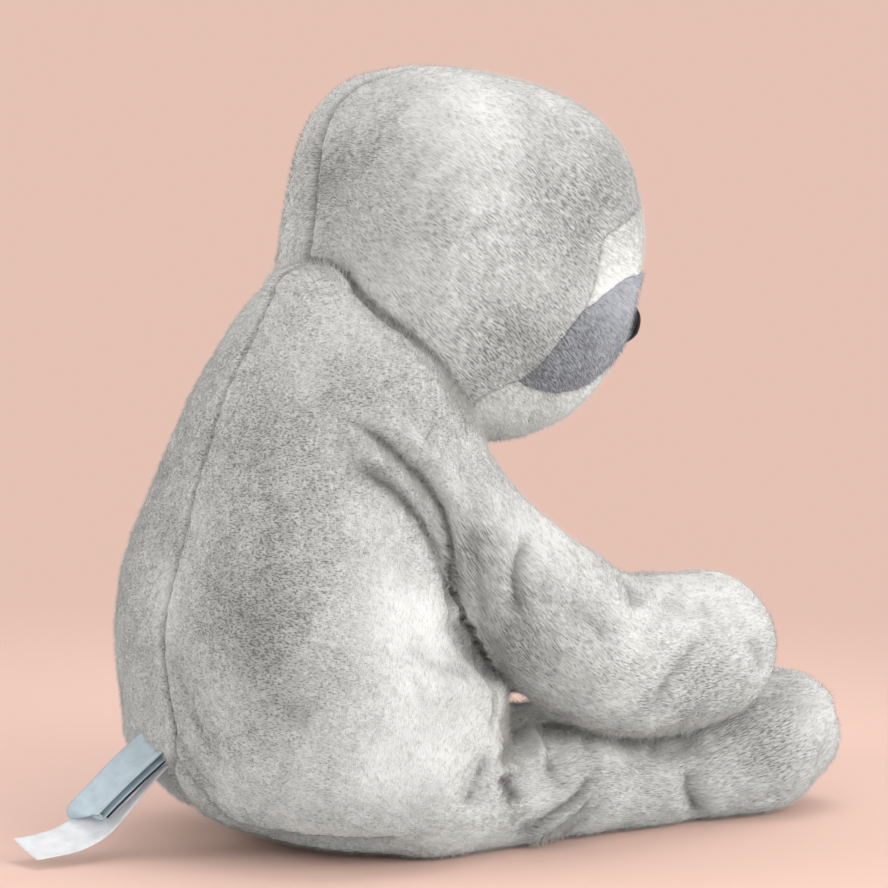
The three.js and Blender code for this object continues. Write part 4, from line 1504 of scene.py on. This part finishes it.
def add_floor():
    """A plain floor that takes the toy's shadow and runs out into the backdrop's colour."""
    half = 12000.0
    corners = [(-half, -half, 0), (half, -half, 0), (half, half, 0), (-half, half, 0)]
    floor = new_object("floor", corners, [(0, 1, 2, 3)])
    m = Material("floor", 0.95, 0.1)
    seen = m.backdrop_share()
    m.paint(m.node("Mix", {0: seen, 6: (0.8, 0.79, 0.78, 1), 7: (*PEACH, 1)}, data_type="RGBA").outputs[2])
    plain = m.node("Emission", {"Color": (*PEACH, 1)})
    place_seen = m.node("NewGeometry").outputs["Position"]
    reach = m.node("VectorMath", {0: place_seen}, operation="LENGTH").outputs["Value"]
    feeds = {"Value": reach, "From Min": 0.28, "From Max": 0.75}
    fade = m.node("MapRange", feeds, interpolation_type="SMOOTHSTEP").outputs["Result"]
    surface = m.mixed(m.math("MULTIPLY", fade, seen), m.shader, plain)
    m.link(surface, m.nodes["Material Output"].inputs["Surface"])
    floor.data.materials.append(m.made)


def hand_in(piece, slot, node, *materials):
    """Gives a piece its materials and hides the model's part for the node that it stands for; the slot is not
    used.
    """
    for material in materials:
        piece.data.materials.append(material)
    if node is not None:
        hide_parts(node)


# The scene

bpy.context.scene.view_settings.view_transform = "Standard"
add_camera()
add_world()
add_floor()
add_lamp("key", (-2.2, -0.9, 1.0), 1.8, 29)
add_lamp("top", (-0.3, -0.3, 2.4), 1.6, 14)
add_lamp("left_side", (0.9, 1.9, 0.9), 1.2, 13)
add_lamp("low_front", (-1.6, -2.0, 0.4), 1.2, 11)

torso = make_torso()
head = make_head()
limbs = {}
for side in SIDES:
    limbs.update(make_arm(side))
    limbs.update(make_leg(side))
furs = {**torso, **head, **limbs}

grey = fur_material("fur", (0.58, 0.572, 0.553))
white = fur_material("face_fur", (0.74, 0.73, 0.7), 0.5)
slate = fur_material("patch_fur", (0.33, 0.335, 0.36), 1.6)
for node, piece in furs.items():
    slot = "face_fur" if node == "face_panel" else "patch_fur" if "patch" in node else "fur"
    hand_in(piece, slot, node, {"face_fur": white, "patch_fur": slate, "fur": grey}[slot])

bpy.context.view_layer.update()
nose = make_nose()
eyes = {side: make_eye(side, tree_of(head["face_panel"], head[f"eye_patch_{side}"])) for side in SIDES}
stitches = make_stitches(tree_of(torso["torso_back_left"], torso["torso_back_right"]))
brand, care = make_labels()
fillings = {
    "torso_stuffing": make_filling("torso_filling", torso_surface(COARSE), "torso"),
    "head_stuffing": make_filling("head_filling", head_surface(COARSE))}
for side, sign in SIDES.items():
    fillings[f"arm_{side}_stuffing"] = make_filling(
        f"arm_{side}_filling", limb_surface(ARM, sign, ARM_WIDTH, ARM_END, COARSE), "arm", sign)
    fillings[f"leg_{side}_stuffing"] = make_filling(
        f"leg_{side}_filling", limb_surface(LEG, sign, LEG_WIDTH, LEG_END, COARSE), "leg", sign)

hand_in(nose, "nose_cloth", "nose", cloth_material("nose_cloth", (0.016, 0.016, 0.019), 0.7, 0.8, 0.15))
satin = cloth_material("label", (0.52, 0.63, 0.69), 0.4, 0.42, 0.1, 0.25, 0.5)
navy = cloth_material("label_edge", (0.018, 0.022, 0.045), 0.4, 0.5, 0.1, 0.3, 0.4)
leaf = cloth_material("label_leaf", (0.78, 0.8, 0.83), 0.4, 0.45, 0.1, 0.25, 0.5)
hand_in(brand, "label", "brand_label", satin, navy, leaf)
white_satin = cloth_material("care_ribbon", (0.87, 0.88, 0.9), 0.4, 0.4, 0.1, 0.25, 0.5)
hand_in(care, "care_ribbon", "care_label", white_satin)
hand_in(stitches, "fur", None, cloth_material("thread", (0.12, 0.12, 0.115), 0.3, 0.8, 0.1))
bead = bead_material("eye", (0.01, 0.01, 0.012))
for side in SIDES:
    hand_in(eyes[side], "eye", f"eye_{side}", bead)
fibre = fibre_material("stuffing", (0.9, 0.89, 0.86))
for node, piece in fillings.items():
    hand_in(piece, "stuffing", node, fibre)

for piece in list(torso.values()) + [fillings["torso_stuffing"], stitches]:
    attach(piece, "torso")
for piece in list(head.values()) + [fillings["head_stuffing"], nose, *eyes.values()]:
    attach(piece, "head")
for piece in (brand, care):
    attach(piece, "labels")
for kind, ends in CROSSINGS.items():
    for side, sign in SIDES.items():
        body = f"{kind}_{side}"
        for part in (limbs[f"{body}_outer"], limbs[f"{body}_inner"], fillings[f"{body}_stuffing"]):
            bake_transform(part)

grey_pile = pile_material("fur_pile", (0.6, 0.585, 0.56))
white_pile = pile_material("face_pile", (0.68, 0.67, 0.645))
slate_pile = pile_material("patch_pile", (0.31, 0.315, 0.34))
for number, (node, piece) in enumerate(furs.items()):
    kind = white_pile if node == "face_panel" else slate_pile if "patch" in node else grey_pile
    long = 1.0 if node in torso else 1.4
    add_tufts(piece, kind, 0.6, 2.0 * long, 1.3, 0.8, seed=number)
    add_tufts(piece, kind, 0.9, 2.6, 3.2, 1.6, seed=number + 50, group="shag")
